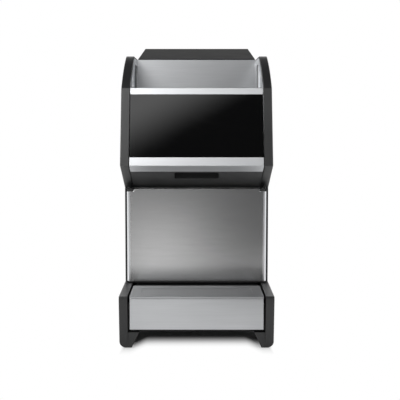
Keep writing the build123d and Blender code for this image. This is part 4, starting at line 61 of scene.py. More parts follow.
# Node helpers for the materials
class Paint:
    """A material under construction: its node tree, its shader and the surface's own coordinates."""

    def __init__(self, name):
        self.material = bpy.data.materials.new(name)
        self.material.use_nodes = True
        self.tree = self.material.node_tree
        self.tree.nodes.clear()
        self.output = self.tree.nodes.new("ShaderNodeOutputMaterial")
        self.shader = self.tree.nodes.new("ShaderNodeBsdfPrincipled")
        self.link(self.shader.outputs["BSDF"], self.output.inputs["Surface"])
        self.place = self.tree.nodes.new("ShaderNodeTexCoord").outputs["Object"]

    def link(self, source, target):
        self.tree.links.new(source, target)

    def put(self, socket, value):
        if isinstance(value, bpy.types.NodeSocket):
            self.link(value, socket)
        else:
            socket.default_value = value

    def stretched(self, scale):
        node = self.tree.nodes.new("ShaderNodeMapping")
        self.link(self.place, node.inputs["Vector"])
        node.inputs["Scale"].default_value = scale
        return node.outputs["Vector"]

    def noise(self, scale, detail=3.0, rough=0.5, stretch=None, bend=0.0):
        node = self.tree.nodes.new("ShaderNodeTexNoise")
        self.link(self.stretched(stretch) if stretch else self.place, node.inputs["Vector"])
        node.inputs["Scale"].default_value = scale
        node.inputs["Detail"].default_value = detail
        node.inputs["Roughness"].default_value = rough
        node.inputs["Distortion"].default_value = bend
        return node.outputs["Fac"]

    def cells(self, scale):
        node = self.tree.nodes.new("ShaderNodeTexVoronoi")
        self.link(self.place, node.inputs["Vector"])
        node.inputs["Scale"].default_value = scale
        return node.outputs["Distance"]

    def math(self, kind, first, second=0.0, third=0.0):
        node = self.tree.nodes.new("ShaderNodeMath")
        node.operation = kind
        for socket, value in zip(node.inputs, (first, second, third)):
            self.put(socket, value)
        return node.outputs[0]

    def between(self, value, low, high, to_low=0.0, to_high=1.0):
        node = self.tree.nodes.new("ShaderNodeMapRange")
        node.interpolation_type = "SMOOTHSTEP"
        self.put(node.inputs["Value"], value)
        for name, number in (("From Min", low), ("From Max", high), ("To Min", to_low), ("To Max", to_high)):
            node.inputs[name].default_value = number
        return node.outputs["Result"]

    def mix(self, share, first, second):
        node = self.tree.nodes.new("ShaderNodeMix")
        node.data_type = "RGBA"
        self.put(node.inputs["Factor"], share)
        self.put(node.inputs["A"], first)
        self.put(node.inputs["B"], second)
        return node.outputs["Result"]

    def bump(self, height, distance, strength):
        node = self.tree.nodes.new("ShaderNodeBump")
        self.put(node.inputs["Height"], height)
        node.inputs["Distance"].default_value = distance
        node.inputs["Strength"].default_value = strength
        return node.outputs["Normal"]

    def facing_up(self):
        geometry = self.tree.nodes.new("ShaderNodeNewGeometry")
        parts = self.tree.nodes.new("ShaderNodeSeparateXYZ")
        self.link(geometry.outputs["Normal"], parts.inputs["Vector"])
        return parts.outputs["Z"]

    def edges(self, radius):
        """Near one on convex edges within the radius and zero on flat ground."""
        bevel = self.tree.nodes.new("ShaderNodeBevel")
        bevel.samples = 4
        bevel.inputs["Radius"].default_value = radius
        geometry = self.tree.nodes.new("ShaderNodeNewGeometry")
        dot = self.tree.nodes.new("ShaderNodeVectorMath")
        dot.operation = "DOT_PRODUCT"
        self.link(bevel.outputs["Normal"], dot.inputs[0])
        self.link(geometry.outputs["Normal"], dot.inputs[1])
        return self.between(dot.outputs["Value"], 0.97, 0.75)

    def across(self, run):
        """A direction along the surface and square to the grain, for the sheen of brushed metal."""
        turn = self.tree.nodes.new("ShaderNodeVectorTransform")
        turn.vector_type = "VECTOR"
        turn.convert_from = "OBJECT"
        turn.convert_to = "WORLD"
        turn.inputs[0].default_value = {"X": (1.0, 0.0, 0.0), "Y": (0.0, 1.0, 0.0), "Z": (0.0, 0.0, 1.0)}[run]
        geometry = self.tree.nodes.new("ShaderNodeNewGeometry")
        cross = self.tree.nodes.new("ShaderNodeVectorMath")
        cross.operation = "CROSS_PRODUCT"
        self.link(geometry.outputs["Normal"], cross.inputs[0])
        self.link(turn.outputs[0], cross.inputs[1])
        return cross.outputs["Vector"]

    def set(self, **values):
        names = {"color": "Base Color", "rough": "Roughness", "metal": "Metallic", "normal": "Normal",
                 "specular": "Specular IOR Level", "coat": "Coat Weight", "ior": "IOR",
                 "anisotropic": "Anisotropic", "tangent": "Tangent", "through": "Transmission Weight"}
        for name, value in values.items():
            self.put(self.shader.inputs[names[name]], value)


# How far rubbed edges reach, in metres
MOULDED_EDGE = 0.0012
COATED_EDGE = 0.0008


def rgb(value, tint=(1.0, 1.0, 1.0)):
    return (value * tint[0], value * tint[1], value * tint[2], 1.0)


def brushed(name, value, tint, rough, run, depth=0.00003, smudge=0.06, sheen=0.7):
    """Brushed metal: fine lines along one axis, faint cloudiness and hand marks."""
    paint = Paint(name)
    stretch = {"X": (1.0, 90.0, 90.0), "Y": (90.0, 1.0, 90.0), "Z": (90.0, 90.0, 1.0)}[run]
    lines = paint.noise(14.0, detail=8.0, rough=0.72, stretch=stretch)
    broad = paint.noise(9.0, detail=2.0, stretch=tuple(s / 8.0 if s > 1 else 1.0 for s in stretch))
    marks = paint.between(paint.noise(11.0, detail=5.0, rough=0.62, bend=0.6), 0.5, 0.72)
    shade = paint.math("MULTIPLY_ADD", lines, 0.35, paint.math("MULTIPLY", broad, 0.12))
    color = paint.mix(paint.between(shade, 0.12, 0.36), rgb(value * 0.92, tint), rgb(value * 1.05, tint))
    rough_value = paint.math("MULTIPLY_ADD", lines, 0.1, rough - 0.05)
    rough_value = paint.math("MULTIPLY_ADD", marks, smudge, rough_value)
    paint.set(color=color, rough=rough_value, metal=1.0, anisotropic=sheen, tangent=paint.across(run),
              normal=paint.bump(lines, depth, 0.5))
    return paint.material


def moulded(name, value, tint, rough, grain=1300.0, depth=0.00006, worn=0.0, specular=0.5, dust=0.0):
    """Moulded plastic with a fine grain, slight unevenness and lighter rubbed edges."""
    paint = Paint(name)
    fine = paint.noise(grain, detail=2.0)
    cloud = paint.noise(16.0, detail=4.0, rough=0.6)
    color = paint.mix(paint.between(cloud, 0.35, 0.68), rgb(value * 0.9, tint), rgb(value * 1.1, tint))
    if worn:
        patches = paint.between(paint.noise(70.0, detail=4.0), 0.42, 0.66)
        rub = paint.math("MULTIPLY", paint.edges(MOULDED_EDGE), patches)
        color = paint.mix(paint.math("MULTIPLY", rub, worn), color, rgb(min(1.0, value * 2.4 + 0.05), tint))
    if dust:
        settle = paint.between(paint.facing_up(), 0.6, 1.0)
        settle = paint.math("MULTIPLY", settle, paint.between(paint.noise(240.0, detail=5.0), 0.45, 0.75))
        color = paint.mix(paint.math("MULTIPLY", settle, dust), color, rgb(0.42, (1.0, 0.97, 0.92)))
    rough_value = paint.math("MULTIPLY_ADD", cloud, 0.16, rough - 0.08)
    paint.set(color=color, rough=rough_value, specular=specular, normal=paint.bump(fine, depth, 0.7))
    return paint.material


def painted(name, value, tint, rough, worn=0.3, metal=0.0, coat=0.0, specular=0.5):
    """Powder coat or enamel: a faint peel, soft cloudiness and bare metal at rubbed edges."""
    paint = Paint(name)
    skin = paint.noise(420.0, detail=1.5)
    cloud = paint.noise(20.0, detail=4.0, rough=0.6)
    color = paint.mix(paint.between(cloud, 0.35, 0.68), rgb(value * 0.92, tint), rgb(value * 1.08, tint))
    patches = paint.between(paint.noise(90.0, detail=5.0), 0.46, 0.66)
    rub = paint.math("MULTIPLY", paint.edges(COATED_EDGE), patches)
    color = paint.mix(paint.math("MULTIPLY", rub, worn), color, rgb(min(1.0, value * 2.0 + 0.08)))
    rough_value = paint.math("MULTIPLY_ADD", cloud, 0.12, rough - 0.06)
    paint.set(color=color, rough=rough_value, metal=metal, coat=coat, specular=specular,
              normal=paint.bump(skin, 0.00003, 0.6))
    return paint.material


def rubbery(name, value, tint, rough):
    paint = Paint(name)
    pores = paint.noise(1700.0, detail=3.0)
    cloud = paint.noise(45.0, detail=4.0)
    color = paint.mix(paint.between(cloud, 0.3, 0.7), rgb(value * 0.82, tint), rgb(value * 1.15, tint))
    paint.set(color=color, rough=paint.math("MULTIPLY_ADD", cloud, 0.15, rough - 0.07), specular=0.3,
              normal=paint.bump(pores, 0.00008, 0.8))
    return paint.material


def galvanised(name, value, tint, rough):
    """Zinc-coated sheet with its crystal flakes."""
    paint = Paint(name)
    flakes = paint.cells(95.0)
    tone = paint.noise(60.0, detail=3.0, bend=1.5)
    both = paint.math("MULTIPLY_ADD", flakes, 0.6, paint.math("MULTIPLY", tone, 0.5))
    color = paint.mix(paint.between(both, 0.3, 0.75), rgb(value * 0.85, tint), rgb(value * 1.12, tint))
    paint.set(color=color, rough=paint.between(both, 0.2, 0.8, rough - 0.08, rough + 0.08), metal=0.85,
              normal=paint.bump(tone, 0.00004, 0.5))
    return paint.material


def drawn_tube(name, value, tint, rough):
    """Drawn tube: faint scale and dull spots."""
    paint = Paint(name)
    scale = paint.noise(130.0, detail=5.0, rough=0.65, bend=0.8)
    dull = paint.between(paint.noise(38.0, detail=4.0), 0.5, 0.68)
    color = paint.mix(paint.between(scale, 0.35, 0.65), rgb(value * 0.85, tint), rgb(value * 1.05, tint))
    color = paint.mix(paint.math("MULTIPLY", dull, 0.45), color, rgb(value * 0.45, tint))
    paint.set(color=color, rough=paint.math("MULTIPLY_ADD", dull, 0.2, rough), metal=1.0,
              normal=paint.bump(scale, 0.00005, 0.5))
    return paint.material


def black_glass(name):
    """Back-printed glass: deep black, glossy, with a breath of smudges and a few dust specks."""
    paint = Paint(name)
    wipe = paint.noise(7.0, detail=5.0, rough=0.6, bend=1.2, stretch=(1.0, 1.0, 2.2))
    wipe = paint.between(wipe, 0.45, 0.75)
    specks = paint.between(paint.cells(210.0), 0.06, 0.02)
    specks = paint.math("MULTIPLY", specks, paint.between(paint.noise(33.0, detail=2.0), 0.55, 0.7))
    color = paint.mix(paint.math("MULTIPLY", specks, 0.2), rgb(0.0015), rgb(0.3))
    paint.set(color=color, rough=paint.math("MULTIPLY_ADD", wipe, 0.05, 0.035), specular=0.5, ior=1.5)
    return paint.material


def foam(name):
    paint = Paint(name)
    pores = paint.cells(900.0)
    cloud = paint.noise(30.0, detail=4.0)
    color = paint.mix(paint.between(cloud, 0.3, 0.7), (0.66, 0.55, 0.32, 1.0), (0.8, 0.71, 0.46, 1.0))
    paint.set(color=color, rough=0.9, specular=0.2, normal=paint.bump(pores, 0.0003, 1.0))
    return paint.material


def clear_plastic(name, value, tint, rough, through):
    """Slightly milky plastic."""
    paint = Paint(name)
    cloud = paint.noise(28.0, detail=4.0)
    ripple = paint.noise(90.0, detail=2.0)
    color = paint.mix(paint.between(cloud, 0.3, 0.7), rgb(value * 0.94, tint), rgb(value, tint))
    paint.set(color=color, rough=paint.math("MULTIPLY_ADD", cloud, 0.1, rough), through=through,
              normal=paint.bump(ripple, 0.0001, 0.3))
    return paint.material


NEUTRAL = (1.0, 1.0, 1.0)
COOL = (0.985, 1.0, 1.02)

MATERIALS = {
    "charcoal_moulding": moulded("charcoal", 0.013, COOL, 0.4, grain=1500.0, depth=0.00004, worn=0.12,
                                 specular=0.6, dust=0.02),
    "dark_sheet": painted("dark_sheet", 0.045, COOL, 0.45, worn=0.2),
    "hood_sheet": painted("hood_sheet", 0.006, COOL, 0.6, worn=0.15, specular=0.1),
    "brushed_steel": brushed("brushed_steel", 0.58, COOL, 0.3, "X", smudge=0.02),
    "door_steel": brushed("door_steel", 0.62, NEUTRAL, 0.24, "X", smudge=0.012, sheen=0.35),
    # The recess wall's steel is a lighter copy of the brushed steel: painted light for light the lamps don't
    # bring into the bay
    "bay_steel_painted_light": brushed("bay_steel_painted_light", 0.72, COOL, 0.4, "X", sheen=0.6),
    # The bay liners' steel is a much lighter copy of the brushed steel: painted light on liners that the key
    # lamp doesn't reach
    "liner_steel_painted_light": brushed("liner_steel_painted_light", 0.9, COOL, 0.5, "X", sheen=0.8),
    # The ledge plate's steel is a darker copy of the brushed steel: painted shade
    "ledge_steel_painted_shade": brushed("ledge_steel_painted_shade", 0.44, COOL, 0.3, "X", smudge=0.02),
    "satin_aluminium": brushed("satin_aluminium", 0.76, COOL, 0.46, "X", depth=0.00002, smudge=0.02,
                               sheen=0.3),
    "trim_aluminium": brushed("trim_aluminium", 0.86, COOL, 0.36, "Z", depth=0.00001, sheen=0.3),
    "blackened_steel": painted("blackened_steel", 0.02, NEUTRAL, 0.35, worn=0.1, metal=0.6),
    "bare_aluminium": brushed("bare_aluminium", 0.72, COOL, 0.36, "Z"),
    "bright_steel": brushed("bright_steel", 0.74, COOL, 0.2, "X", depth=0.00001),
    "zinc_sheet": galvanised("zinc_sheet", 0.5, COOL, 0.42),
    "black_enamel": painted("black_enamel", 0.012, NEUTRAL, 0.28, worn=0.2, coat=0.3),
    "black_plastic": moulded("black_plastic", 0.022, NEUTRAL, 0.48, worn=0.2),
    "grey_plastic": moulded("grey_plastic", 0.16, COOL, 0.5, worn=0.2),
    "white_plastic": moulded("white_plastic", 0.74, NEUTRAL, 0.3, grain=700.0, depth=0.00002),
    "natural_plastic": clear_plastic("natural_plastic", 0.88, COOL, 0.28, 0.55),
    "lid_plastic": moulded("lid_plastic", 0.3, (0.22, 0.55, 1.2), 0.34, grain=800.0, depth=0.00003),
    "rocker_plastic": moulded("rocker_plastic", 0.02, NEUTRAL, 0.25, grain=900.0, depth=0.00002),
    "insulation": foam("insulation"),
    "black_rubber": rubbery("black_rubber", 0.02, NEUTRAL, 0.72),
    "grey_rubber": rubbery("grey_rubber", 0.22, NEUTRAL, 0.62),
    "orange_rubber": rubbery("orange_rubber", 0.5, (1.0, 0.28, 0.06), 0.55),
    "black_cable": rubbery("black_cable", 0.025, NEUTRAL, 0.55),
    "steel_tube": drawn_tube("steel_tube", 0.7, COOL, 0.24),
    "copper_tube": drawn_tube("copper_tube", 0.75, (1.0, 0.56, 0.38), 0.26),
    "black_glass": black_glass("black_glass"),
}

SLOT_OF = {row["node"]: row["material_slot"] for row in frame["record"]["subparts"]}
# The recess wall, the bay liners and the ledge plate take lighter or darker copies of the brushed steel:
# painted light and shade
SLOT_OF.update({"rear_hood": "hood_sheet", "recess_wall": "bay_steel_painted_light", "bay_liners": "liner_steel_painted_light",
                "ledge_plate": "ledge_steel_painted_shade", "door_edge_trims": "trim_aluminium",
                "door_hinge_pins": "blackened_steel"})


WELD_GAP = 0.00001
ROUND_STEPS = 2
SHARP_ANGLE = 30.0
SHADE_WEIGHT = 80


def even_shading(obj):
    """Smooth shading that keeps the large faces of a piece flat."""
    for polygon in obj.data.polygons:
        polygon.use_smooth = True
    normals = obj.modifiers.new("normals", "WEIGHTED_NORMAL")
    normals.weight = SHADE_WEIGHT


def soften(obj, width):
    """Rounds the sharp edges of a hard piece and evens out its shading."""
    weld = obj.modifiers.new("weld", "WELD")
    weld.merge_threshold = WELD_GAP
    bevel = obj.modifiers.new("bevel", "BEVEL")
    bevel.width = width
    bevel.segments = ROUND_STEPS
    bevel.limit_method = "ANGLE"
    bevel.angle_limit = radians(SHARP_ANGLE)
    bevel.use_clamp_overlap = True
    even_shading(obj)


ROUNDING = {
    "side_panel_left": 0.0011, "side_panel_right": 0.0011, "rear_hood": 0.0008, "door_skin": 0.0,
    "flap_top_rail": 0.0004, "flap_glass": 0.0,
}
USUAL_ROUNDING = 0.0003

for node_name, obj in NODES.items():
    obj.data.materials.clear()
    obj.data.materials.append(MATERIALS[SLOT_OF[node_name]])
    if obj.data.has_custom_normals:
        with bpy.context.temp_override(object=obj, active_object=obj, selected_objects=[obj]):
            bpy.ops.mesh.customdata_custom_splitnormals_clear()
    soften(obj, ROUNDING.get(node_name, USUAL_ROUNDING))


# Pressed, moulded and printed detail, built as rings that are joined in turn
REAR_FACE = 0.2552
BEAD_STEPS = 8
BEAD_TURNS = (0.12, 0.45, 0.85, 1.2, pi / 2)
BODY_OF = {node: body for body, nodes in frame["record"]["behaviour"]["bodies"].items() for node in nodes}
X_AXIS, Y_AXIS, Z_AXIS = (1, 0, 0), (0, 1, 0), (0, 0, 1)
TO_FRONT = (0, -1, 0)


def ringed(name, node, bundles, looped=False, material=None):
    """One piece from bundles of rings, riding with the CAD node that it belongs to."""
    mesh = bmesh.new()
    for rings in bundles:
        loops = [[mesh.verts.new(point) for point in ring] for ring in rings]
        pairs = list(zip(loops, loops[1:]))
        if looped:
            pairs.append((loops[-1], loops[0]))
        for near, far in pairs:
            for i in range(len(near)):
                j = (i + 1) % len(near)
                mesh.faces.new((near[i], near[j], far[j], far[i]))
        if not looped:
            mesh.faces.new(loops[0][::-1])
            mesh.faces.new(loops[-1])
    bmesh.ops.recalc_face_normals(mesh, faces=mesh.faces)
    data = bpy.data.meshes.new(name)
    mesh.to_mesh(data)
    mesh.free()
    obj = bpy.data.objects.new(name, data)
    data.materials.append(MATERIALS[material or SLOT_OF[node]])
    bpy.context.scene.collection.objects.link(obj)
    even_shading(obj)
    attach(obj, BODY_OF[node])


def bead(centre, along, out, length, width, height):
    """The rings of a domed bead with round ends, lying along one direction and standing out in another."""
    centre, along, out = Vector(centre), Vector(along), Vector(out)
    across = out.cross(along)
    radius = width / 2
    reach = length / 2 - radius
    ends = [(-reach - radius * cos(turn), sin(turn)) for turn in BEAD_TURNS]
    stations = ends + [(-place, share) for place, share in reversed(ends)]
    rings = []
    for place, share in stations:
        ring = []
        for step in range(BEAD_STEPS + 1):
            angle = pi * step / BEAD_STEPS
            ring.append(centre + along * place + across * (radius * share * cos(angle))
                        + out * (height * share * sin(angle)))
        rings.append(ring)
    return rings


# A louvre's hood: its profile as height above the slot's middle line and rise off the panel, and how
# the rise falls away towards both ends
LOUVRE_PROFILE = [(0.0074, 0.0), (0.0056, 0.0019), (0.0034, 0.0032), (0.0002, 0.0036),
                  (0.0002, 0.0027), (0.0034, 0.0023), (0.0056, 0.001), (0.0066, 0.0)]
LOUVRE_ENDS = [(0.0525, 0.0), (0.0515, 0.35), (0.0495, 0.68), (0.046, 0.9), (0.041, 1.0)]


def louvre(x, z):
    """The rings of the sheet pressed out over one slot, tapering into the panel at both ends."""
    stations = [(-reach, share) for reach, share in LOUVRE_ENDS] + LOUVRE_ENDS[::-1]
    return [[(x + reach, REAR_FACE + rise * share, z + height) for height, rise in LOUVRE_PROFILE]
            for reach, share in stations]


LOUVRE_COLUMNS = (0.08, -0.078)
LOUVRE_ROWS = 10
LOUVRE_PITCH = 0.011
LOUVRE_MIDDLE = 0.457
louvre_heights = [LOUVRE_MIDDLE + (row - (LOUVRE_ROWS - 1) / 2) * LOUVRE_PITCH for row in range(LOUVRE_ROWS)]
ringed("rear_louvres", "rear_panel", [louvre(x, z) for x in LOUVRE_COLUMNS for z in louvre_heights])

# The scale round the thermostat knob
KNOB = (-0.042, 0.072)
TICKS = 11
TICK_FIRST = -135
TICK_STEP = 27
TICK_REACH = 0.0178
TICK_SINK = 0.0001
TICK_LENGTHS = (0.0042, 0.0026)
TICK_WIDTH = 0.0009
TICK_RISE = 0.0003
ticks = []
for mark in range(TICKS):
    turn = radians(TICK_FIRST + TICK_STEP * mark)
    ray = (sin(turn), 0, cos(turn))
    centre = (KNOB[0] + ray[0] * TICK_REACH, REAR_FACE - TICK_SINK, KNOB[1] + ray[2] * TICK_REACH)
    ticks.append(bead(centre, ray, Y_AXIS, TICK_LENGTHS[min(mark % 5, 1)], TICK_WIDTH, TICK_RISE))
ringed("knob_scale", "rear_panel", ticks, material="white_plastic")

# The weld seam round the compressor
SEAM_CENTRE = Vector((-0.078, 0.13, 0.44))
SEAM_RADIUS = 0.0602
SEAM_HALF_WIDTH = 0.0014
SEAM_HALF_HEIGHT = 0.002
SEAM_STEPS = 64
SEAM_SIDES = 8
seam = []
for step in range(SEAM_STEPS):
    turn = 2 * pi * step / SEAM_STEPS
    spoke = Vector((cos(turn), sin(turn), 0))
    middle = SEAM_CENTRE + spoke * SEAM_RADIUS
    ring = []
    for side in range(SEAM_SIDES):
        angle = 2 * pi * side / SEAM_SIDES
        upward = Vector((0, 0, SEAM_HALF_HEIGHT * sin(angle)))
        ring.append(middle + spoke * (SEAM_HALF_WIDTH * cos(angle)) + upward)
    seam.append(ring)
ringed("compressor_seam", "compressor", [seam], looped=True)

# Level marks on the container's front, the longer ones at every second level
MARKS = 9
MARK_LOW = 0.166
MARK_PITCH = 0.01
MARK_FACE = -0.0749
MARK_PLACES = (-0.106, -0.102)
MARK_LENGTHS = (0.02, 0.012)
MARK_WIDTH = 0.0012
MARK_RISE = 0.0005
marks = []
for mark in range(MARKS):
    centre = (MARK_PLACES[mark % 2], MARK_FACE, MARK_LOW + MARK_PITCH * mark)
    marks.append(bead(centre, X_AXIS, TO_FRONT, MARK_LENGTHS[mark % 2], MARK_WIDTH, MARK_RISE))
ringed("container_marks", "milk_container", marks)

# Pressed or moulded beads on the pan, the door and the liner: length, width and height of each
PAN_RIB = (0.21, 0.004, 0.0016)
PAN_RIB_PITCH = 0.035
PAN_RIB_MIDDLE = -0.115
PAN_RIB_FLOOR = 0.0524
ringed("pan_ribs", "drawer_pan",
       [bead((PAN_RIB_PITCH * rib, PAN_RIB_MIDDLE, PAN_RIB_FLOOR), Y_AXIS, Z_AXIS, *PAN_RIB)
        for rib in range(-3, 4)])
DOOR_BEAD = (0.24, 0.012, 0.0016)
DOOR_BEAD_FACE = -0.1151
DOOR_BEAD_HEIGHTS = (0.19, 0.24, 0.29)
ringed("door_beads", "door_inner_panel",
       [bead((0, DOOR_BEAD_FACE, height), X_AXIS, Y_AXIS, *DOOR_BEAD) for height in DOOR_BEAD_HEIGHTS])
LINER_BEAD = (0.24, 0.01, 0.0016)
LINER_BEAD_FACE = 0.1431
LINER_BEAD_MIDDLE = 0.04
LINER_BEAD_HEIGHTS = (0.19, 0.225, 0.26)
ringed("liner_beads", "inner_liner",
       [bead((side * LINER_BEAD_FACE, LINER_BEAD_MIDDLE, height), Y_AXIS, (-side, 0, 0), *LINER_BEAD)
        for side in (-1, 1) for height in LINER_BEAD_HEIGHTS])

# Fins between those of the solid
FINS = 16
FIN_FIRST = 0.02
FIN_PITCH = 0.008
FIN_SHEET = 0.0003
FIN_FRONT = 0.17
FIN_DEPTH = 0.038
FIN_ENDS = (0.384, 0.53)


def fin_ring(x, z):
    return [(x, FIN_FRONT, z), (x + FIN_SHEET, FIN_FRONT, z),
            (x + FIN_SHEET, FIN_FRONT + FIN_DEPTH, z), (x, FIN_FRONT + FIN_DEPTH, z)]


ringed("condenser_fins", "condenser",
       [[fin_ring(FIN_FIRST + FIN_PITCH * fin, z) for z in FIN_ENDS] for fin in range(FINS)])


# Floor, light and world
def stage_plane(name, corners, material):
    """A flat sheet of the studio, not part of the object."""
    mesh = bpy.data.meshes.new(name)
    mesh.from_pydata(corners, [], [(0, 1, 2, 3)])
    obj = bpy.data.objects.new(name, mesh)
    obj.data.materials.append(material)
    bpy.context.scene.collection.objects.link(obj)
    return obj


def reflection_only(obj):
    """Keeps a studio card out of the picture and out of the diffuse light."""
    obj.visible_camera = False
    obj.visible_diffuse = False
    obj.visible_shadow = False
    obj.visible_transmission = False


def axis_value(paint, axis):
    parts = paint.tree.nodes.new("ShaderNodeSeparateXYZ")
    paint.link(paint.place, parts.inputs["Vector"])
    return parts.outputs[axis]


def card_material(name, color, strength, mask_of):
    """A glowing or dark card that fades out by the mask, a function of the card's own place."""
    paint = Paint(name)
    paint.tree.nodes.remove(paint.shader)
    glow = paint.tree.nodes.new("ShaderNodeEmission")
    glow.inputs["Color"].default_value = color
    glow.inputs["Strength"].default_value = strength
    clear = paint.tree.nodes.new("ShaderNodeBsdfTransparent")
    mix = paint.tree.nodes.new("ShaderNodeMixShader")
    paint.put(mix.inputs["Fac"], mask_of(paint))
    paint.link(clear.outputs[0], mix.inputs[1])
    paint.link(glow.outputs[0], mix.inputs[2])
    paint.link(mix.outputs[0], paint.output.inputs["Surface"])
    return paint.material


def footprint_distance(paint):
    """How far a point of the floor lies outside the object's footprint, below zero inside it."""
    x, y = (paint.math("ABSOLUTE", axis_value(paint, axis)) for axis in "XY")
    sideways = paint.math("MULTIPLY", paint.math("SUBTRACT", x, FOOTPRINT[0]), SIDE_STEEPNESS)
    beside_foot = paint.between(x, FOOT_SHADE[0], FOOT_SHADE[1], 0.0, FOOT_SHADE[2])
    forward = paint.math("SUBTRACT", paint.math("SUBTRACT", y, FOOTPRINT[1]), beside_foot)
    return paint.math("MAXIMUM", sideways, forward)


def floor_material():
    """A white floor: shaded under the object, so that its shadow shows, and plain white further out."""
    paint = Paint("floor")
    paint.tree.nodes.remove(paint.shader)
    diffuse = paint.tree.nodes.new("ShaderNodeBsdfDiffuse")
    diffuse.inputs["Color"].default_value = rgb(FLOOR_SHADE)
    glow = paint.tree.nodes.new("ShaderNodeEmission")
    glow.inputs["Strength"].default_value = 1.0
    path = paint.tree.nodes.new("ShaderNodeLightPath")
    away = footprint_distance(paint)
    straight = paint.math("MAXIMUM", path.outputs["Is Camera Ray"], path.outputs["Is Transmission Ray"])
    straight = paint.math("MULTIPLY", straight, paint.between(away, SEEN_FADE[0], SEEN_FADE[1]))
    mirrored = paint.math("MULTIPLY", path.outputs["Is Glossy Ray"],
                          paint.between(away, MIRRORED_FADE[0], MIRRORED_FADE[1]))
    mix = paint.tree.nodes.new("ShaderNodeMixShader")
    paint.put(mix.inputs["Fac"], paint.math("MAXIMUM", straight, mirrored))
    paint.link(diffuse.outputs[0], mix.inputs[1])
    paint.link(glow.outputs[0], mix.inputs[2])
    paint.link(mix.outputs[0], paint.output.inputs["Surface"])
    return paint.material


FOOTPRINT = (0.18, 0.265)
SIDE_STEEPNESS = 6.0
FOOT_SHADE = (0.115, 0.158, 0.05)
SEEN_FADE = (-0.1, -0.012)
MIRRORED_FADE = (-0.06, 0.2)
FLOOR_HALF = 14.0
FLOOR_SHADE = 0.75
stage_plane("floor", [(-FLOOR_HALF, -FLOOR_HALF, 0), (FLOOR_HALF, -FLOOR_HALF, 0),
                      (FLOOR_HALF, FLOOR_HALF, 0), (-FLOOR_HALF, FLOOR_HALF, 0)], floor_material())

# Studio cards that only reflections see: a dark wall, a dark ceiling, the end of the white
# table, a soft box high on the left and a low band of light in front
WALL_Y = -4.6
CEILING = 3.4
DARK = (0.05, 0.052, 0.056, 1.0)


def whole(_):
    """A mask that covers the whole card."""
    return 1.0


def table_shade(paint):
    """The table's end far in front, a shade that grows to the right, and a narrow one on both sides."""
    x, y = axis_value(paint, "X"), axis_value(paint, "Y")
    ahead = paint.between(paint.math("MULTIPLY_ADD", x, TABLE_SLANT, y), TABLE_END[0], TABLE_END[1])
    sideways = paint.between(x, TABLE_SIDE[0], TABLE_SIDE[1], TABLE_SHADE[0], TABLE_SHADE[1])
    half = paint.math("MULTIPLY_ADD", y, -SIDE_SLOPE, SIDE_HALF)
    aside = paint.math("SUBTRACT", paint.math("ABSOLUTE", x), half)
    shade = paint.math("MAXIMUM", ahead, sideways)
    shade = paint.math("MAXIMUM", shade, paint.between(aside, -SIDE_SOFT, SIDE_SOFT, 0.0, SIDE_SHADE))
    return paint.math("MULTIPLY", shade, paint.between(y, TABLE_NEAR[0], TABLE_NEAR[1], 1.0, 0.0))


def soft_panel(paint):
    """Bright towards the upper left of the soft box and nothing at its lower right."""
    x, z = axis_value(paint, "X"), axis_value(paint, "Z")
    across = paint.math("MULTIPLY_ADD", x, -PANEL_EDGE[0], paint.math("MULTIPLY", z, PANEL_EDGE[1]))
    return paint.between(across, PANEL_EDGE[2] - PANEL_SOFT, PANEL_EDGE[2] + PANEL_SOFT)


def low_band(paint):
    """Brightest on the left and gone towards the right and the upper edge."""
    x, z = axis_value(paint, "X"), axis_value(paint, "Z")
    sideways = paint.between(x, BAND_SIDE[0], BAND_SIDE[1], 1.0, BAND_FAR)
    upward = paint.between(z, BAND_TOP[0], BAND_TOP[1], 1.0, 0.0)
    return paint.math("MULTIPLY", sideways, upward)


TABLE_NEAR = (-0.78, -0.62)
TABLE_SLANT = -0.6
TABLE_END = (-1.5, -2.4)
TABLE_SIDE = (-0.2, 0.22)
TABLE_SHADE = (0.02, 0.97)
TABLE_DARK = (0.14, 0.14, 0.14, 1.0)
SIDE_HALF = 0.145
SIDE_SLOPE = 0.083
SIDE_SOFT = 0.03
SIDE_SHADE = 0.5
PANEL_EDGE = (0.7, 1.15, 2.19)
PANEL_SOFT = 0.28
BAND_SIDE = (-0.5, 0.7)
BAND_FAR = 0.15
BAND_TOP = (0.9, 1.3)

WALL_HALF = 9
WALL_TOP = 5.5
CARD_LIFT = 0.01
CEILING_BACK = 3
TABLE_HALF = 5
TABLE_FAR = -6
TABLE_FRONT = -0.6
TABLE_LIFT = 0.002
PANEL_Y = -3.0
PANEL_SIDES = (-2.6, 0.9)
PANEL_HEIGHTS = (1.3, 3.2)
PANEL_GLOW = 2.3
BAND_Y = -4.5
BAND_HALF = 3.0
BAND_HEIGHTS = (0.75, 1.6)
BAND_GLOW = 1.2
WHITE = (1.0, 1.0, 1.0, 1.0)


def upright(y, left, right, low, high):
    """The corners of a card that stands square to the view."""
    return [(left, y, low), (right, y, low), (right, y, high), (left, y, high)]


def lying(z, half, near, far):
    """The corners of a card that lies level, from its far edge in front of the object to its near one."""
    return [(-half, far, z), (half, far, z), (half, near, z), (-half, near, z)]


wall = stage_plane("studio_wall", upright(WALL_Y, -WALL_HALF, WALL_HALF, CARD_LIFT, WALL_TOP),
                   card_material("studio_wall", DARK, 1.0, whole))
ceiling = stage_plane("studio_ceiling", lying(CEILING, WALL_HALF, CEILING_BACK, WALL_Y),
                      card_material("studio_ceiling", DARK, 1.0, whole))
table_end = stage_plane("table_end", lying(TABLE_LIFT, TABLE_HALF, TABLE_FRONT, TABLE_FAR),
                        card_material("table_end", TABLE_DARK, 1.0, table_shade))
panel = stage_plane("soft_panel", upright(PANEL_Y, *PANEL_SIDES, *PANEL_HEIGHTS),
                    card_material("soft_panel", WHITE, PANEL_GLOW, soft_panel))
band = stage_plane("low_band", upright(BAND_Y, -BAND_HALF, BAND_HALF, *BAND_HEIGHTS),
                   card_material("low_band", WHITE, BAND_GLOW, low_band))
for card in (wall, ceiling, table_end, panel, band):
    reflection_only(card)


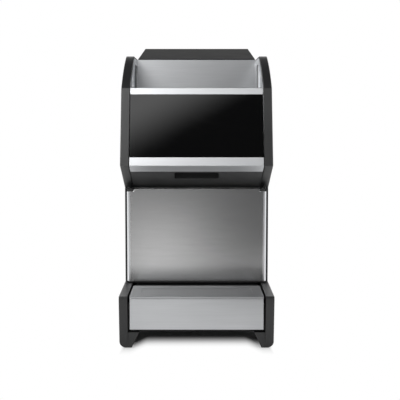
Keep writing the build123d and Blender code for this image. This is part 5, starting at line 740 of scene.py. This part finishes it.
def soft_box(name, place, aim, width, height, power):
    data = bpy.data.lights.new(name, "AREA")
    data.shape = "RECTANGLE"
    data.size, data.size_y = width, height
    data.energy = power
    light = bpy.data.objects.new(name, data)
    light.location = place
    direction = Vector(aim) - Vector(place)
    light.rotation_euler = direction.to_track_quat("-Z", "Y").to_euler()
    light.visible_camera = False
    bpy.context.scene.collection.objects.link(light)
    return light


WORLD_FILL = 0.12


def make_world():
    """White where the camera, a reflection or clear material sees it, and a weak fill for everything else."""
    world = bpy.data.worlds.new("world")
    bpy.context.scene.world = world
    world.use_nodes = True
    tree = world.node_tree
    tree.nodes.clear()
    output = tree.nodes.new("ShaderNodeOutputWorld")
    path = tree.nodes.new("ShaderNodeLightPath")
    white = tree.nodes.new("ShaderNodeBackground")
    white.inputs["Color"].default_value = WHITE
    white.inputs["Strength"].default_value = 1.0
    fill = tree.nodes.new("ShaderNodeBackground")
    fill.inputs["Color"].default_value = (0.96, 0.98, 1.0, 1.0)
    fill.inputs["Strength"].default_value = WORLD_FILL
    seen = tree.nodes.new("ShaderNodeMath")
    seen.operation = "MAXIMUM"
    also = tree.nodes.new("ShaderNodeMath")
    also.operation = "MAXIMUM"
    tree.links.new(path.outputs["Is Camera Ray"], seen.inputs[0])
    tree.links.new(path.outputs["Is Glossy Ray"], seen.inputs[1])
    tree.links.new(seen.outputs[0], also.inputs[0])
    tree.links.new(path.outputs["Is Transmission Ray"], also.inputs[1])
    mix = tree.nodes.new("ShaderNodeMixShader")
    tree.links.new(also.outputs[0], mix.inputs["Fac"])
    tree.links.new(fill.outputs[0], mix.inputs[1])
    tree.links.new(white.outputs[0], mix.inputs[2])
    tree.links.new(mix.outputs[0], output.inputs["Surface"])


# Each lamp's place, the height on the object that it is aimed at, its size in metres and its power
LAMPS = {
    "key": ((-1.6, -2.3, 2.0), 0.35, (1.3, 1.1), 48.0),
    "fill": ((2.3, -1.7, 1.9), 0.35, (1.2, 1.0), 36.0),
    "overhead": ((0.2, -0.5, 2.9), 0.3, (2.4, 2.0), 22.0),
}
UNMIRRORED_LAMP = "overhead"

make_world()
for lamp_name, (place, aim_height, size, power) in LAMPS.items():
    lamp = soft_box(lamp_name, place, (0, 0, aim_height), *size, power)
    lamp.visible_glossy = lamp_name != UNMIRRORED_LAMP

make_camera()
bpy.context.scene.view_settings.view_transform = "Standard"
